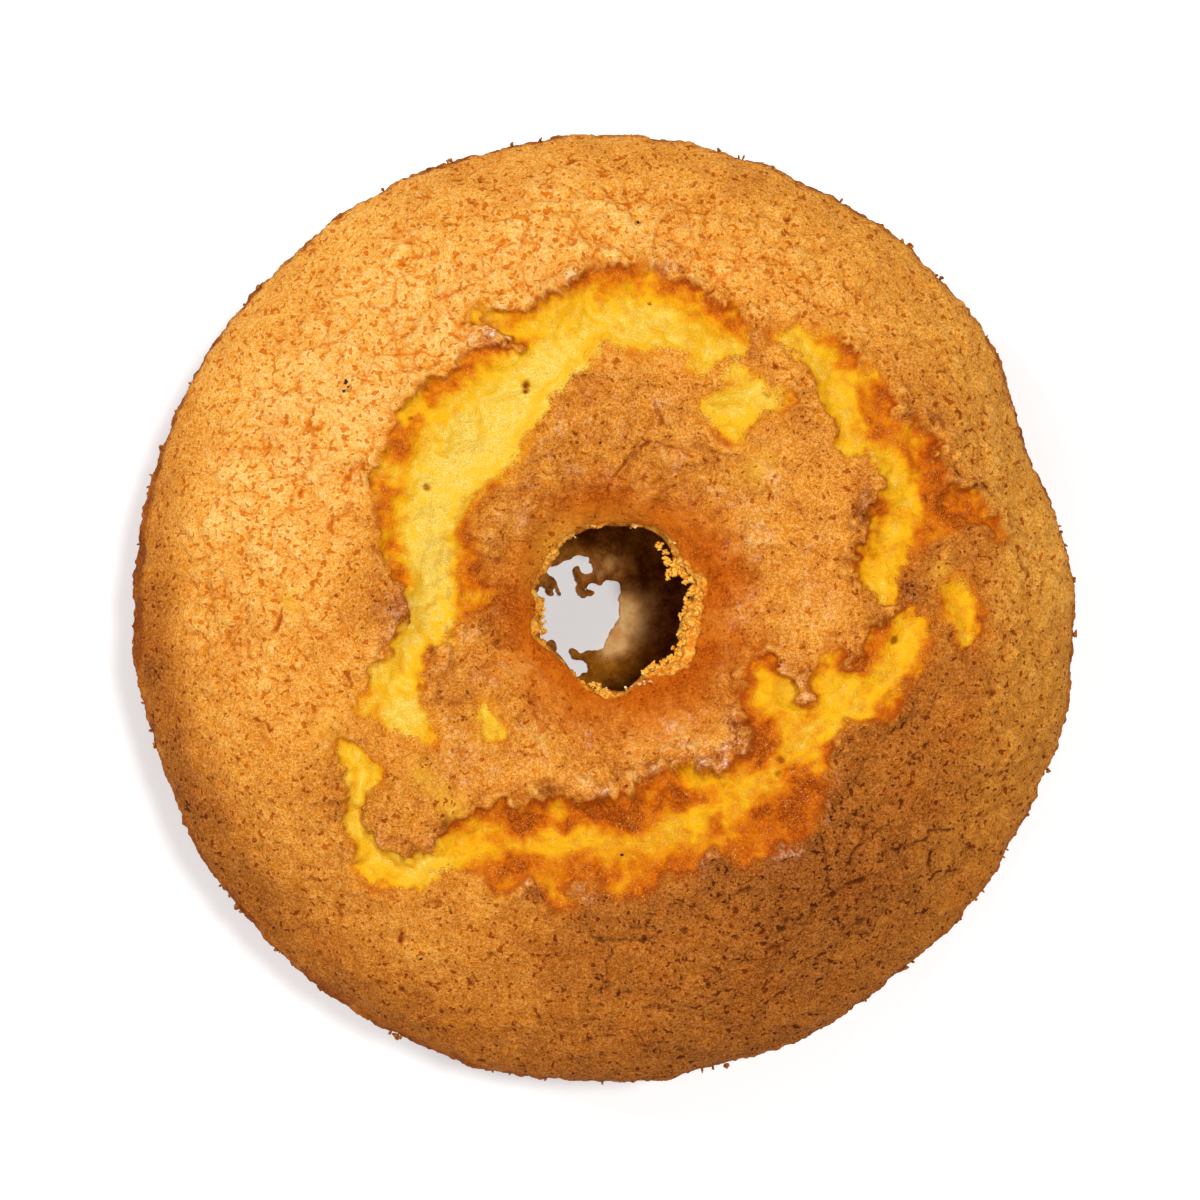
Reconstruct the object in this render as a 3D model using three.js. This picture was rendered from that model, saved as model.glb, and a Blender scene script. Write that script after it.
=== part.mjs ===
// Ring cake, baked in a tapered ring tin and turned out the way it rose:
// one closed body with a flat base, a leaning side, a domed crust that has
// split into a ragged ring-shaped crack, and a hole that widens downwards.
// Millimetres, +Z up, origin in the middle of the base.

import * as THREE from 'three';

// ---------------------------------------------------------------- sizes
const OUTLINE_R = 119.12;      // mean radius at the widest level
const WIDEST_Z = 50.0;         // height of the widest level
const BASE_R = 103.0;          // radius of the side just above the base
const BASE_CORNER = 9.0;       // rounding where the side meets the base
const CREST_R = 64.0;          // radius of the ring-shaped crest
const CREST_Z = 75.0;          // height of the crest
const RIM_Z = 52.5;            // height at which the dome meets the side
const RIM_ROUND = 5.0;         // rounding of that edge
const HOLE_R = 19.42;          // mean radius of the hole near the top
const HOLE_X = 1.97;           // the hole is a little off the middle
const HOLE_Y = 1.14;
const HOLE_EDGE_Z = 57.0;      // height of the hole's upper edge
const HOLE_BASE_R = 26.5;      // radius of the hole just above the base
const HOLE_CORNER = 8.0;       // rounding between hole and base
const DOME_POWER_OUT = 2.3;    // how late the dome bends down, outwards
const DOME_POWER_IN = 2.1;     // and inwards

const CRACK_DEPTH = 3.6;       // how far the soft crumb lies below the crust
const LIP_RISE = 0.9;          // how far the torn crust edge curls up
const LIP_RUN = 5.0;           // width of the slope under a lip
const CRUMB_SWELL = 1.6;       // the crumb bulges up again between the lips

const COLUMNS = 126;           // steps round the ring

// harmonics of the outlines: [order, amplitude mm, phase deg]
const OUTLINE = [[1, 0.60, 196], [2, 0.70, 193], [3, 0.31, 273], [4, 0.54, 274],
  [5, 0.42, 273], [6, 0.41, 295], [7, 0.35, 311], [8, 0.37, 347], [9, 0.30, 0],
  [10, 0.31, 26], [14, 0.21, 119]];
const HOLE = [[2, 0.98, 165], [3, 0.42, 109], [4, 0.20, 307], [6, 0.25, 134],
  [7, 0.63, 72], [8, 0.30, 119], [9, 0.37, 55]];
const LIP_IN_R = 54.2;         // mean radius of the crack's inner lip
const LIP_IN = [[1, 10.8, 26], [2, 14.5, 103], [3, 3.4, 343], [4, 3.9, 160],
  [5, 4.4, 45], [6, 1.4, 318], [7, 1.3, 339], [8, 3.7, 20], [9, 2.7, 278],
  [11, 2.2, 307], [12, 2.3, 259]];
const LIP_OUT_R = 75.8;        // mean radius of the crack's outer lip
const LIP_OUT = [[1, 9.2, 25], [2, 8.3, 117], [3, 5.2, 350], [4, 4.3, 153],
  [5, 3.7, 53], [6, 2.2, 200], [8, 1.0, 305], [9, 1.3, 253], [10, 1.5, 171],
  [11, 1.5, 193], [12, 1.9, 209]];
// crust that still spans the crack: [direction deg, half width deg]
const BRIDGES = [[60, 6], [213, 9], [0, 8]];
// slow unevenness of the dome: [wavelength mm, direction deg, phase deg, height mm]
const SWELLS = [[96, 20, 40, 0.8], [74, 95, 200, 0.7], [58, 150, 10, 0.6],
  [47, 60, 120, 0.5], [39, 120, 300, 0.4]];

const BASE_COLOUR = 0xb9742a;

// ------------------------------------------------------------ functions
const rad = (d) => (d * Math.PI) / 180;
const mix = (a, b, t) => a + (b - a) * t;
const smooth = (a, b, x) => {
  const t = Math.min(1, Math.max(0, (x - a) / (b - a)));
  return t * t * (3 - 2 * t);
};
const wobble = (terms, th) =>
  terms.reduce((s, [n, amp, ph]) => s + amp * Math.cos(n * th - rad(ph)), 0);

// how wide open the crack is in direction th, 0 where crust spans it
function openness(th) {
  let o = 1;
  for (const [dir, half] of BRIDGES) {
    let d = Math.abs(((th - rad(dir)) * 180) / Math.PI) % 360;
    if (d > 180) d = 360 - d;
    o *= smooth(half * 0.35, half, d);
  }
  return o;
}

function lips(th) {
  const a = LIP_IN_R + wobble(LIP_IN, th);
  const b = LIP_OUT_R + wobble(LIP_OUT, th);
  const mid = (a + b) / 2;
  const half = Math.max(5.5, (b - a) / 2);
  return [Math.max(33, mid - half), Math.min(104, mid + half)];
}

// radius of the outer skin at height z
function sideRadius(th, z) {
  const up = Math.min(1, z / WIDEST_Z);
  return mix(BASE_R, OUTLINE_R, up) + wobble(OUTLINE, th) * up * up;
}

// the dome without its crack
function dome(r, th, rOut, rIn) {
  if (r >= CREST_R) {
    const u = (r - CREST_R) / (rOut - CREST_R);
    return CREST_Z - (CREST_Z - RIM_Z) * Math.pow(u, DOME_POWER_OUT);
  }
  const u = (CREST_R - r) / (CREST_R - rIn);
  return CREST_Z - (CREST_Z - HOLE_EDGE_Z) * Math.pow(u, DOME_POWER_IN);
}

function swell(x, y) {
  return SWELLS.reduce((s, [len, dir, ph, h]) =>
    s + h * Math.cos((2 * Math.PI * (x * Math.cos(rad(dir)) + y * Math.sin(rad(dir)))) / len - rad(ph)), 0);
}

// crack relief: below the crust inside the lips, a curl just outside them
function crack(r, th) {
  const [a, b] = lips(th);
  const inside = Math.min(r - a, b - r);        // > 0 between the lips
  const o = openness(th);
  const drop = smooth(-0.5, LIP_RUN, inside);
  const back = smooth(LIP_RUN, (b - a) / 2 + LIP_RUN * 0.5, inside);
  const curl = Math.exp(-Math.pow((inside + 1.5) / 2.6, 2));
  return o * (LIP_RISE * curl - CRACK_DEPTH * drop + CRUMB_SWELL * back);
}

// one column of the skin: the closed section in direction th, from the
// base by the hole, out along the base, up the side, over the dome, down
// the hole
function section(th) {
  const R = OUTLINE_R + wobble(OUTLINE, th);
  const h = HOLE_R + wobble(HOLE, th);
  const off = HOLE_X * Math.cos(th) + HOLE_Y * Math.sin(th);
  const rIn = h + off;                          // hole edge from the middle
  const baseR = sideRadius(th, 0);
  const [a, b] = lips(th);
  const pts = [];

  // base
  const holeBase = HOLE_BASE_R + off;
  pts.push([holeBase + HOLE_CORNER, 0]);
  pts.push([(holeBase + HOLE_CORNER + baseR - BASE_CORNER) / 2, 0]);
  pts.push([baseR - BASE_CORNER, 0]);

  // corner and side
  for (const f of [0.34, 0.6, 0.86]) {
    const ang = f * Math.PI / 2;
    const z = BASE_CORNER * (1 - Math.cos(ang));
    pts.push([sideRadius(th, z) - BASE_CORNER * (1 - Math.sin(ang)), z]);
  }
  for (const z of [14, 26, 38]) pts.push([sideRadius(th, z), z]);
  pts.push([R, WIDEST_Z]);

  // rim rounding
  const top = (r) => {
    const x = r * Math.cos(th), y = r * Math.sin(th);
    const fade = smooth(R, R - 12, r) * smooth(rIn, rIn + 10, r);
    return dome(r, th, R, rIn) + fade * swell(x, y) + crack(r, th);
  };
  const rr = R - RIM_ROUND;
  pts.push([R - RIM_ROUND * 0.10, mix(WIDEST_Z, top(rr), 0.42)]);
  pts.push([R - RIM_ROUND * 0.42, mix(WIDEST_Z, top(rr), 0.78)]);

  // dome, from the rim to the outer lip, over the crack, to the hole
  const outer = b + 1.5;
  for (const f of [0, 0.16, 0.33, 0.5, 0.67, 0.84]) {
    const r = mix(rr, outer, f);
    pts.push([r, top(r)]);
  }
  for (const r of [outer, b - LIP_RUN * 0.5, b - LIP_RUN, (a + b) / 2,
    a + LIP_RUN, a + LIP_RUN * 0.5, a - 1.5]) pts.push([r, top(r)]);
  const inner = a - 1.5, brim = rIn + 6;
  for (const f of [0.3, 0.6, 1]) {
    const r = mix(inner, brim, f);
    pts.push([r, top(r)]);
  }

  // hole edge and wall
  const zb = top(brim);
  pts.push([rIn + 2.6, zb - 3.6]);
  pts.push([rIn + 0.5, zb - 8.0]);
  for (const f of [0.30, 0.68]) {
    const z = mix(zb - 8.0, HOLE_CORNER, f);
    const calm = 1 - f;
    pts.push([mix(HOLE_R, HOLE_BASE_R, f) + off + wobble(HOLE, th) * calm, z]);
  }
  for (const f of [0.68, 0.34]) {
    const ang = f * Math.PI / 2;
    pts.push([holeBase + HOLE_CORNER * (1 - Math.sin(ang)),
      HOLE_CORNER * (1 - Math.cos(ang))]);
  }
  return pts;
}

// ------------------------------------------------------------- surface
function buildCake() {
  const pos = [];
  const idx = [];
  let rows = 0;
  for (let i = 0; i < COLUMNS; i++) {
    const th = (2 * Math.PI * i) / COLUMNS;
    const pts = section(th);
    rows = pts.length;
    for (const [r, z] of pts) pos.push(r * Math.cos(th), r * Math.sin(th), z);
  }
  for (let i = 0; i < COLUMNS; i++) {
    const k = (i + 1) % COLUMNS;
    for (let j = 0; j < rows; j++) {
      const m = (j + 1) % rows;
      const p = i * rows + j, q = k * rows + j, s = k * rows + m, t = i * rows + m;
      if ((i + j) % 2) idx.push(p, q, s, p, s, t);
      else idx.push(p, q, t, q, s, t);
    }
  }
  const g = new THREE.BufferGeometry();
  g.setAttribute('position', new THREE.Float32BufferAttribute(pos, 3));
  g.setIndex(idx);
  g.computeBoundingBox();
  const c = g.boundingBox;
  g.translate(-(c.min.x + c.max.x) / 2, -(c.min.y + c.max.y) / 2, -c.min.z);
  g.computeVertexNormals();
  return g;
}

const group = new THREE.Group();
const cake = new THREE.Mesh(
  buildCake(),
  new THREE.MeshStandardMaterial({ color: BASE_COLOUR, roughness: 0.85, metalness: 0.0 }),
);
cake.name = 'cake';
group.add(cake);

export default group;
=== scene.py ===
# Looks of a ring cake: browned crust, torn yellow crumb, crumbs and flakes.
# Lengths in this file are millimetres until they are written to a mesh.
import math

import bmesh
import bpy
import numpy as np
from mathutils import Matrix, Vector


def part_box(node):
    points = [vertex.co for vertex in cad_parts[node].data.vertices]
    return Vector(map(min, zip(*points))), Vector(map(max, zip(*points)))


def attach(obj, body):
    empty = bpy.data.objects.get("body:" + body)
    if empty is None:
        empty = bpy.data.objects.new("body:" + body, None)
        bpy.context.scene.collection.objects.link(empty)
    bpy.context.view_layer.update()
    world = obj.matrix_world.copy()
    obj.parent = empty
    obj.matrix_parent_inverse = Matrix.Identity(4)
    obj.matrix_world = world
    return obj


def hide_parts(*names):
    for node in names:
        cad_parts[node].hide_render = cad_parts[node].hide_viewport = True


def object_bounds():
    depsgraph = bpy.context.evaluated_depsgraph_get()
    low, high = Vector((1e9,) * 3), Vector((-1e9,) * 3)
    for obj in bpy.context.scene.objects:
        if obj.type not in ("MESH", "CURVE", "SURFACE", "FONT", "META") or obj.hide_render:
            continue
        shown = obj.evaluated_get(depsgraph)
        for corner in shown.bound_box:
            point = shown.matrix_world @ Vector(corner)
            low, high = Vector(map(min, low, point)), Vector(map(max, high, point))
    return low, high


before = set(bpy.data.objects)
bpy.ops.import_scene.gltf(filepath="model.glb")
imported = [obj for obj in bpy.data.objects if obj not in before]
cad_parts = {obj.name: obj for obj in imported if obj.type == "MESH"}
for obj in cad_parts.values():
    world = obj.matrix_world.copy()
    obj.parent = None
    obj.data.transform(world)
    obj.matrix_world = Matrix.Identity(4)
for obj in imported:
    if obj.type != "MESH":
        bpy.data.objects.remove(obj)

CAD_LO, CAD_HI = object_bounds()
NODE_LO, NODE_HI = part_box("cake")
f32 = np.float32

# ------------------------------------------------------------------ sizes
OUTLINE_R, WIDEST_Z = 119.12, 50.0
BASE_R, BASE_CORNER = 103.0, 9.0
CREST_R, CREST_Z = 64.0, 75.0
RIM_Z, RIM_ROUND = 52.5, 5.0
HOLE_R, HOLE_X, HOLE_Y, HOLE_EDGE_Z = 19.42, 1.97, 1.14, 57.0
HOLE_BASE_R, HOLE_CORNER = 26.5, 8.0
OUTLINE = [(1, 0.60, 196), (2, 0.70, 193), (3, 0.31, 273), (4, 0.54, 274),
           (5, 0.42, 273), (6, 0.41, 295), (7, 0.35, 311), (8, 0.37, 347),
           (9, 0.30, 0), (10, 0.31, 26), (11, 0.10, 9), (12, 0.14, 48),
           (14, 0.21, 119), (15, 0.10, 134), (16, 0.17, 122)]
HOLE = [(1, 0.12, 40), (2, 0.98, 165), (3, 0.42, 109), (4, 0.20, 307),
        (5, 0.13, 255), (6, 0.25, 134), (7, 0.63, 72), (8, 0.30, 119),
        (9, 0.37, 55), (10, 0.23, 225), (11, 0.12, 131), (12, 0.13, 166)]
SWELLS = [(96, 20, 40, 0.8), (74, 95, 200, 0.7), (58, 150, 10, 0.6),
          (47, 60, 120, 0.5), (39, 120, 300, 0.4)]

# The crack was measured as seen from straight above, from LOOK_UP over the
# widest level; LOOK_X, LOOK_Y is the point looked down on.
PX = 0.25276                     # millimetres to a pixel at the widest level
PIC_X, PIC_Y = 604.5, 609.0      # the cake's middle in the picture
LENS, SENSOR = 85.0, 36.0
LOOK_UP = 600 * PX * LENS / (SENSOR / 2)
LOOK_X, LOOK_Y = (600 - PIC_X) * PX, -(600 - PIC_Y) * PX

N1, N2, N3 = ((1344, 672, 336))


def to_mm(px, py):
    return (np.asarray(px, float) - PIC_X) * PX, -(np.asarray(py, float) - PIC_Y) * PX


# ------------------------------------------------- outlines of the crack
# Bends of each opening's lip, in picture pixels, joined by smooth curves.
OPENINGS = {
    "upper_left": [
        (750, 347), (749, 335), (745, 320), (737, 307), (722, 302), (707, 298), (701, 284),
        (685, 279), (668, 277), (657, 266), (640, 263), (622, 267), (603, 263), (592, 271),
        (578, 281), (563, 291), (548, 299), (530, 305), (515, 310), (500, 309), (484, 308),
        (471, 313), (470, 321), (484, 319), (497, 326), (506, 337), (520, 345), (523, 353),
        (510, 351), (495, 349), (480, 346), (468, 352), (460, 364), (450, 374), (437, 380),
        (425, 386), (416, 398), (402, 408), (395, 424), (390, 440), (385, 455), (376, 468),
        (370, 482), (373, 500), (376, 520), (380, 540), (386, 556), (396, 572), (402, 590),
        (406, 605), (403, 618), (396, 632), (388, 650), (382, 665), (370, 672), (366, 688),
        (357, 700), (354, 708), (362, 715), (375, 720), (388, 729), (402, 735), (418, 742),
        (432, 748), (440, 752), (438, 738), (434, 725), (427, 714), (424, 700), (426, 685),
        (424, 668), (428, 655), (440, 648), (451, 640), (450, 632), (457, 624), (466, 617),
        (480, 611), (488, 598), (486, 580), (480, 560), (472, 540), (470, 520), (474, 505),
        (482, 492), (497, 489), (505, 484), (512, 473), (520, 458), (526, 445), (531, 434),
        (539, 424), (546, 411), (552, 402), (560, 393), (566, 383), (574, 372), (586, 371),
        (597, 360), (601, 348), (610, 342), (624, 350), (640, 354), (655, 351), (668, 351),
        (682, 355), (688, 366), (694, 376), (703, 377), (713, 367), (726, 359), (740, 357)],
    "window": [
        (735, 366), (750, 375), (765, 384), (780, 392), (795, 404), (783, 409), (768, 410),
        (758, 420), (750, 432), (739, 445), (722, 441), (713, 427), (704, 414), (702, 403),
        (715, 395), (727, 382)],
    "right": [
        (766, 336), (784, 333), (800, 329), (818, 335), (836, 340), (851, 342), (856, 352),
        (864, 366), (876, 375), (888, 388), (896, 400), (893, 414), (905, 421), (920, 421),
        (934, 434), (938, 448), (936, 464), (946, 480), (960, 488), (975, 495), (984, 501),
        (991, 510), (999, 519), (1005, 531), (1001, 537), (991, 531), (979, 525), (966, 528), (950, 543),
        (932, 545), (918, 552), (905, 565), (900, 580), (900, 598), (893, 608), (880, 604),
        (868, 596), (860, 585), (856, 570), (858, 555), (866, 545), (868, 528), (869, 510),
        (876, 496), (883, 480), (880, 468), (868, 455), (852, 458), (838, 450), (836, 436),
        (834, 424), (824, 412), (817, 398), (817, 384), (808, 370), (799, 357), (788, 347)],
    "small": [
        (478, 704), (484, 703), (491, 709), (498, 718), (504, 729), (506, 739), (499, 744), (489, 740),
        (481, 731), (477, 717)],
    "far_right": [
        (953, 574), (966, 586), (981, 602), (986, 618), (978, 636), (968, 648), (958, 640),
        (952, 625), (945, 612), (941, 598), (944, 583)],
    "lower": [
        (898, 612), (915, 606), (928, 612), (934, 625), (930, 640), (925, 656), (918, 674),
        (905, 688), (897, 702), (889, 714), (878, 725), (862, 728), (850, 721), (841, 726),
        (836, 741), (832, 756), (826, 772), (827, 790), (824, 806), (817, 822), (808, 832),
        (795, 840), (782, 844), (774, 853), (764, 862), (752, 869), (741, 865), (731, 853),
        (716, 848), (702, 853), (699, 866), (690, 873), (672, 877), (658, 884), (645, 893),
        (630, 896), (614, 896), (603, 887), (590, 880), (577, 884), (569, 894), (570, 905),
        (560, 909), (549, 902), (545, 890), (534, 882), (520, 885), (510, 893), (499, 896),
        (488, 884), (478, 873), (465, 868), (452, 868), (440, 872), (430, 881), (418, 889),
        (403, 893), (385, 889), (368, 881), (355, 869), (350, 850), (346, 830), (342, 810),
        (345, 790), (342, 770), (336, 752), (325, 738), (340, 738), (354, 745), (366, 757),
        (378, 766), (381, 780), (374, 795), (367, 806), (370, 825), (380, 842), (390, 854),
        (404, 860), (418, 855), (433, 848), (445, 838), (447, 826), (460, 820), (476, 813),
        (494, 808), (512, 803), (530, 800), (552, 800), (575, 800), (596, 799), (612, 797),
        (630, 790), (645, 782), (658, 775), (672, 770), (688, 764), (699, 770), (709, 775),
        (721, 769), (732, 759), (747, 751), (752, 738), (746, 722), (740, 706), (740, 690),
        (743, 672), (750, 658), (762, 650), (771, 656), (778, 666), (783, 678), (795, 684),
        (799, 697), (809, 703), (812, 690), (808, 679), (818, 668), (826, 655), (836, 650),
        (845, 657), (846, 668), (853, 670), (858, 657), (863, 643), (870, 631), (882, 625),
        (894, 622)],
}

# Soft patches: (pixel x, pixel y, radius in pixels, strength).
# How far the crust's torn edge stands up over the crumb, beyond LIP_STEP:
LIP_STEP = 0.45
LIPS = [
    (505, 343, 36, 1.5), (440, 378, 34, 1.2), (412, 402, 20, 0.8), (562, 290, 40, 1.3),
    (640, 265, 30, 0.9), (684, 277, 34, 1.1), (722, 302, 28, 1.2), (749, 330, 20, 0.8),
    (378, 466, 24, 1.0), (382, 540, 28, 0.9), (402, 605, 30, 1.8), (380, 668, 24, 1.0),
    (455, 630, 20, 0.6), (426, 675, 28, 0.9), (337, 775, 34, 0.9), (345, 835, 26, 0.5),
    (371, 820, 26, 0.9), (405, 858, 26, 0.9), (446, 838, 22, 1.1), (480, 812, 30, 1.2),
    (540, 800, 40, 1.5), (602, 798, 36, 1.8), (652, 778, 36, 2.0), (705, 772, 32, 2.3),
    (748, 742, 30, 1.7), (742, 690, 30, 1.6), (776, 664, 22, 1.0), (803, 692, 24, 1.9),
    (850, 664, 22, 1.3), (884, 620, 26, 1.1), (868, 505, 32, 2.2), (864, 545, 28, 1.9),
    (857, 575, 20, 1.0), (836, 432, 26, 1.3), (818, 392, 24, 0.9), (858, 352, 22, 0.9),
    (892, 392, 20, 1.0), (920, 422, 30, 1.5), (943, 455, 26, 1.3), (968, 492, 30, 1.3),
    (1000, 522, 16, 0.8), (530, 883, 24, 0.5), (590, 880, 22, 0.5), (706, 851, 18, 0.9),
    (790, 842, 26, 1.0), (826, 800, 26, 1.0), (838, 732, 26, 0.9), (896, 704, 26, 0.7),
    (735, 445, 16, 0.5), (714, 392, 16, 0.5)]
# Crumb that took colour in the oven:
TOAST = [
    (520, 325, 34, .45), (490, 335, 18, .30), (625, 270, 34, .50), (590, 275, 16, .35),
    (680, 285, 30, .35), (712, 312, 24, .50), (738, 328, 16, .45), (455, 365, 26, .50),
    (485, 362, 22, .45), (425, 400, 20, .55), (414, 424, 10, .60), (402, 448, 20, .70),
    (386, 498, 22, .80), (392, 540, 18, .75), (404, 575, 17, .95), (478, 512, 22, .72),
    (462, 548, 26, .80), (478, 590, 24, .75), (961, 594, 10, .45), (979, 628, 10, .45), (384, 640, 12, .50), (362, 690, 16, .55),
    (432, 745, 14, .40), (337, 765, 14, .50), (345, 800, 12, .40), (352, 868, 20, .45),
    (385, 885, 14, .30), (518, 828, 19, 1.1), (537, 811, 13, .60), (568, 829, 10, 1.3),
    (625, 825, 22, .95), (600, 803, 18, .60), (585, 815, 12, .50), (495, 838, 10, .60), (480, 832, 24, .25), (660, 800, 22, .50),
    (530, 862, 22, .45), (590, 868, 20, .45), (505, 880, 18, .40), (630, 880, 26, .40),
    (680, 860, 24, .30), (716, 812, 20, .70), (690, 800, 16, .45), (770, 818, 22, .70),
    (745, 840, 20, .45), (802, 800, 20, .60), (815, 788, 14, .50), (740, 862, 16, .45),
    (800, 832, 18, .60), (765, 752, 24, .60), (790, 770, 16, .40), (748, 735, 16, .40),
    (802, 707, 14, .50), (775, 715, 16, .30), (850, 670, 16, .40), (835, 745, 14, .50),
    (868, 640, 20, .40), (925, 625, 16, .40), (915, 665, 16, .40), (885, 712, 18, .45),
    (868, 430, 24, .55), (885, 415, 16, .45), (880, 515, 16, .60), (872, 545, 14, .50),
    (925, 455, 26, .45), (930, 500, 34, .65), (960, 520, 24, .60), (920, 540, 22, .50),
    (985, 515, 16, .50), (850, 352, 16, .50), (880, 388, 18, .50), (965, 612, 26, .40),
    (978, 600, 12, .30)]
# The lowest, yellowest line along each opening: (half width in mm, colour it took, bends in picture pixels)
VALLEYS = [
    (0.3, .30, [(440, 862), (470, 842), (505, 838), (545, 846), (583, 838), (615, 846), (640, 846), (675, 828),
                (705, 812), (733, 803), (758, 785), (775, 772), (795, 750), (815, 735)]),
    (0.8, .27, [(815, 735), (835, 722), (860, 705), (885, 680), (905, 650), (918, 624)]),
    (2.2, .06, [(350, 765), (355, 795), (362, 832), (385, 868), (412, 876), (440, 862)]),
    (1.2, .19, [(790, 345), (815, 372), (842, 408), (850, 438), (865, 454), (892, 469), (904, 508), (892, 546),
                (877, 577), (872, 600)]),
    (0.8, .28, [(956, 590), (965, 615), (968, 635)]),
    (3.2, .10, [(729, 358), (706, 350), (675, 327), (637, 320), (598, 327), (572, 360)]),
    (4.6, -.04, [(572, 360), (540, 380), (512, 408), (485, 440), (460, 470)]),
    (3.4, -.05, [(460, 470), (440, 500), (430, 530), (430, 560), (428, 590), (425, 620)]),
    (2.8, .07, [(425, 620), (410, 645), (400, 670), (395, 700), (408, 728)]),
    (2.6, .08, [(722, 412), (742, 406), (768, 398)]),
    (1.0, .22, [(482, 712), (494, 732)]),
    (1.2, .26, [(783, 690), (792, 712), (800, 730), (815, 735)]), (1.2, .24, [(845, 690), (840, 705), (835, 722)])]
# Lips whose torn edge is a pinkish brown, with painted whitish highlights on its raised lumps:
PINK_AND_HIGHLIGHT_PATCHES = [
    (500, 335, 20, .9), (490, 346, 16, .6), (545, 300, 14, .4), (664, 269, 12, .9), (574, 285, 14, .4),
    (400, 608, 15, 1.), (385, 640, 14, .5), (380, 470, 9, .4), (655, 775, 18, .8), (700, 765, 22, 1.),
    (733, 752, 20, 1.), (744, 735, 15, 1.), (600, 795, 18, .5), (560, 803, 16, .3), (868, 500, 16, .40),
    (866, 540, 16, .35), (845, 440, 12, .5), (770, 670, 13, .6), (802, 680, 14, .45), (808, 698, 8, .40),
    (850, 655, 13, .6), (960, 495, 12, .5), (985, 510, 11, .4), (790, 855, 18, .6), (835, 790, 14, .5),
    (832, 815, 8, .6), (905, 590, 12, .4), (730, 720, 12, .5), (330, 742, 12, .4), (378, 838, 12, .4),
    (535, 888, 12, .8), (700, 862, 16, .4), (585, 890, 12, .5), (440, 838, 12, .4), (750, 340, 12, .4)]
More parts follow.
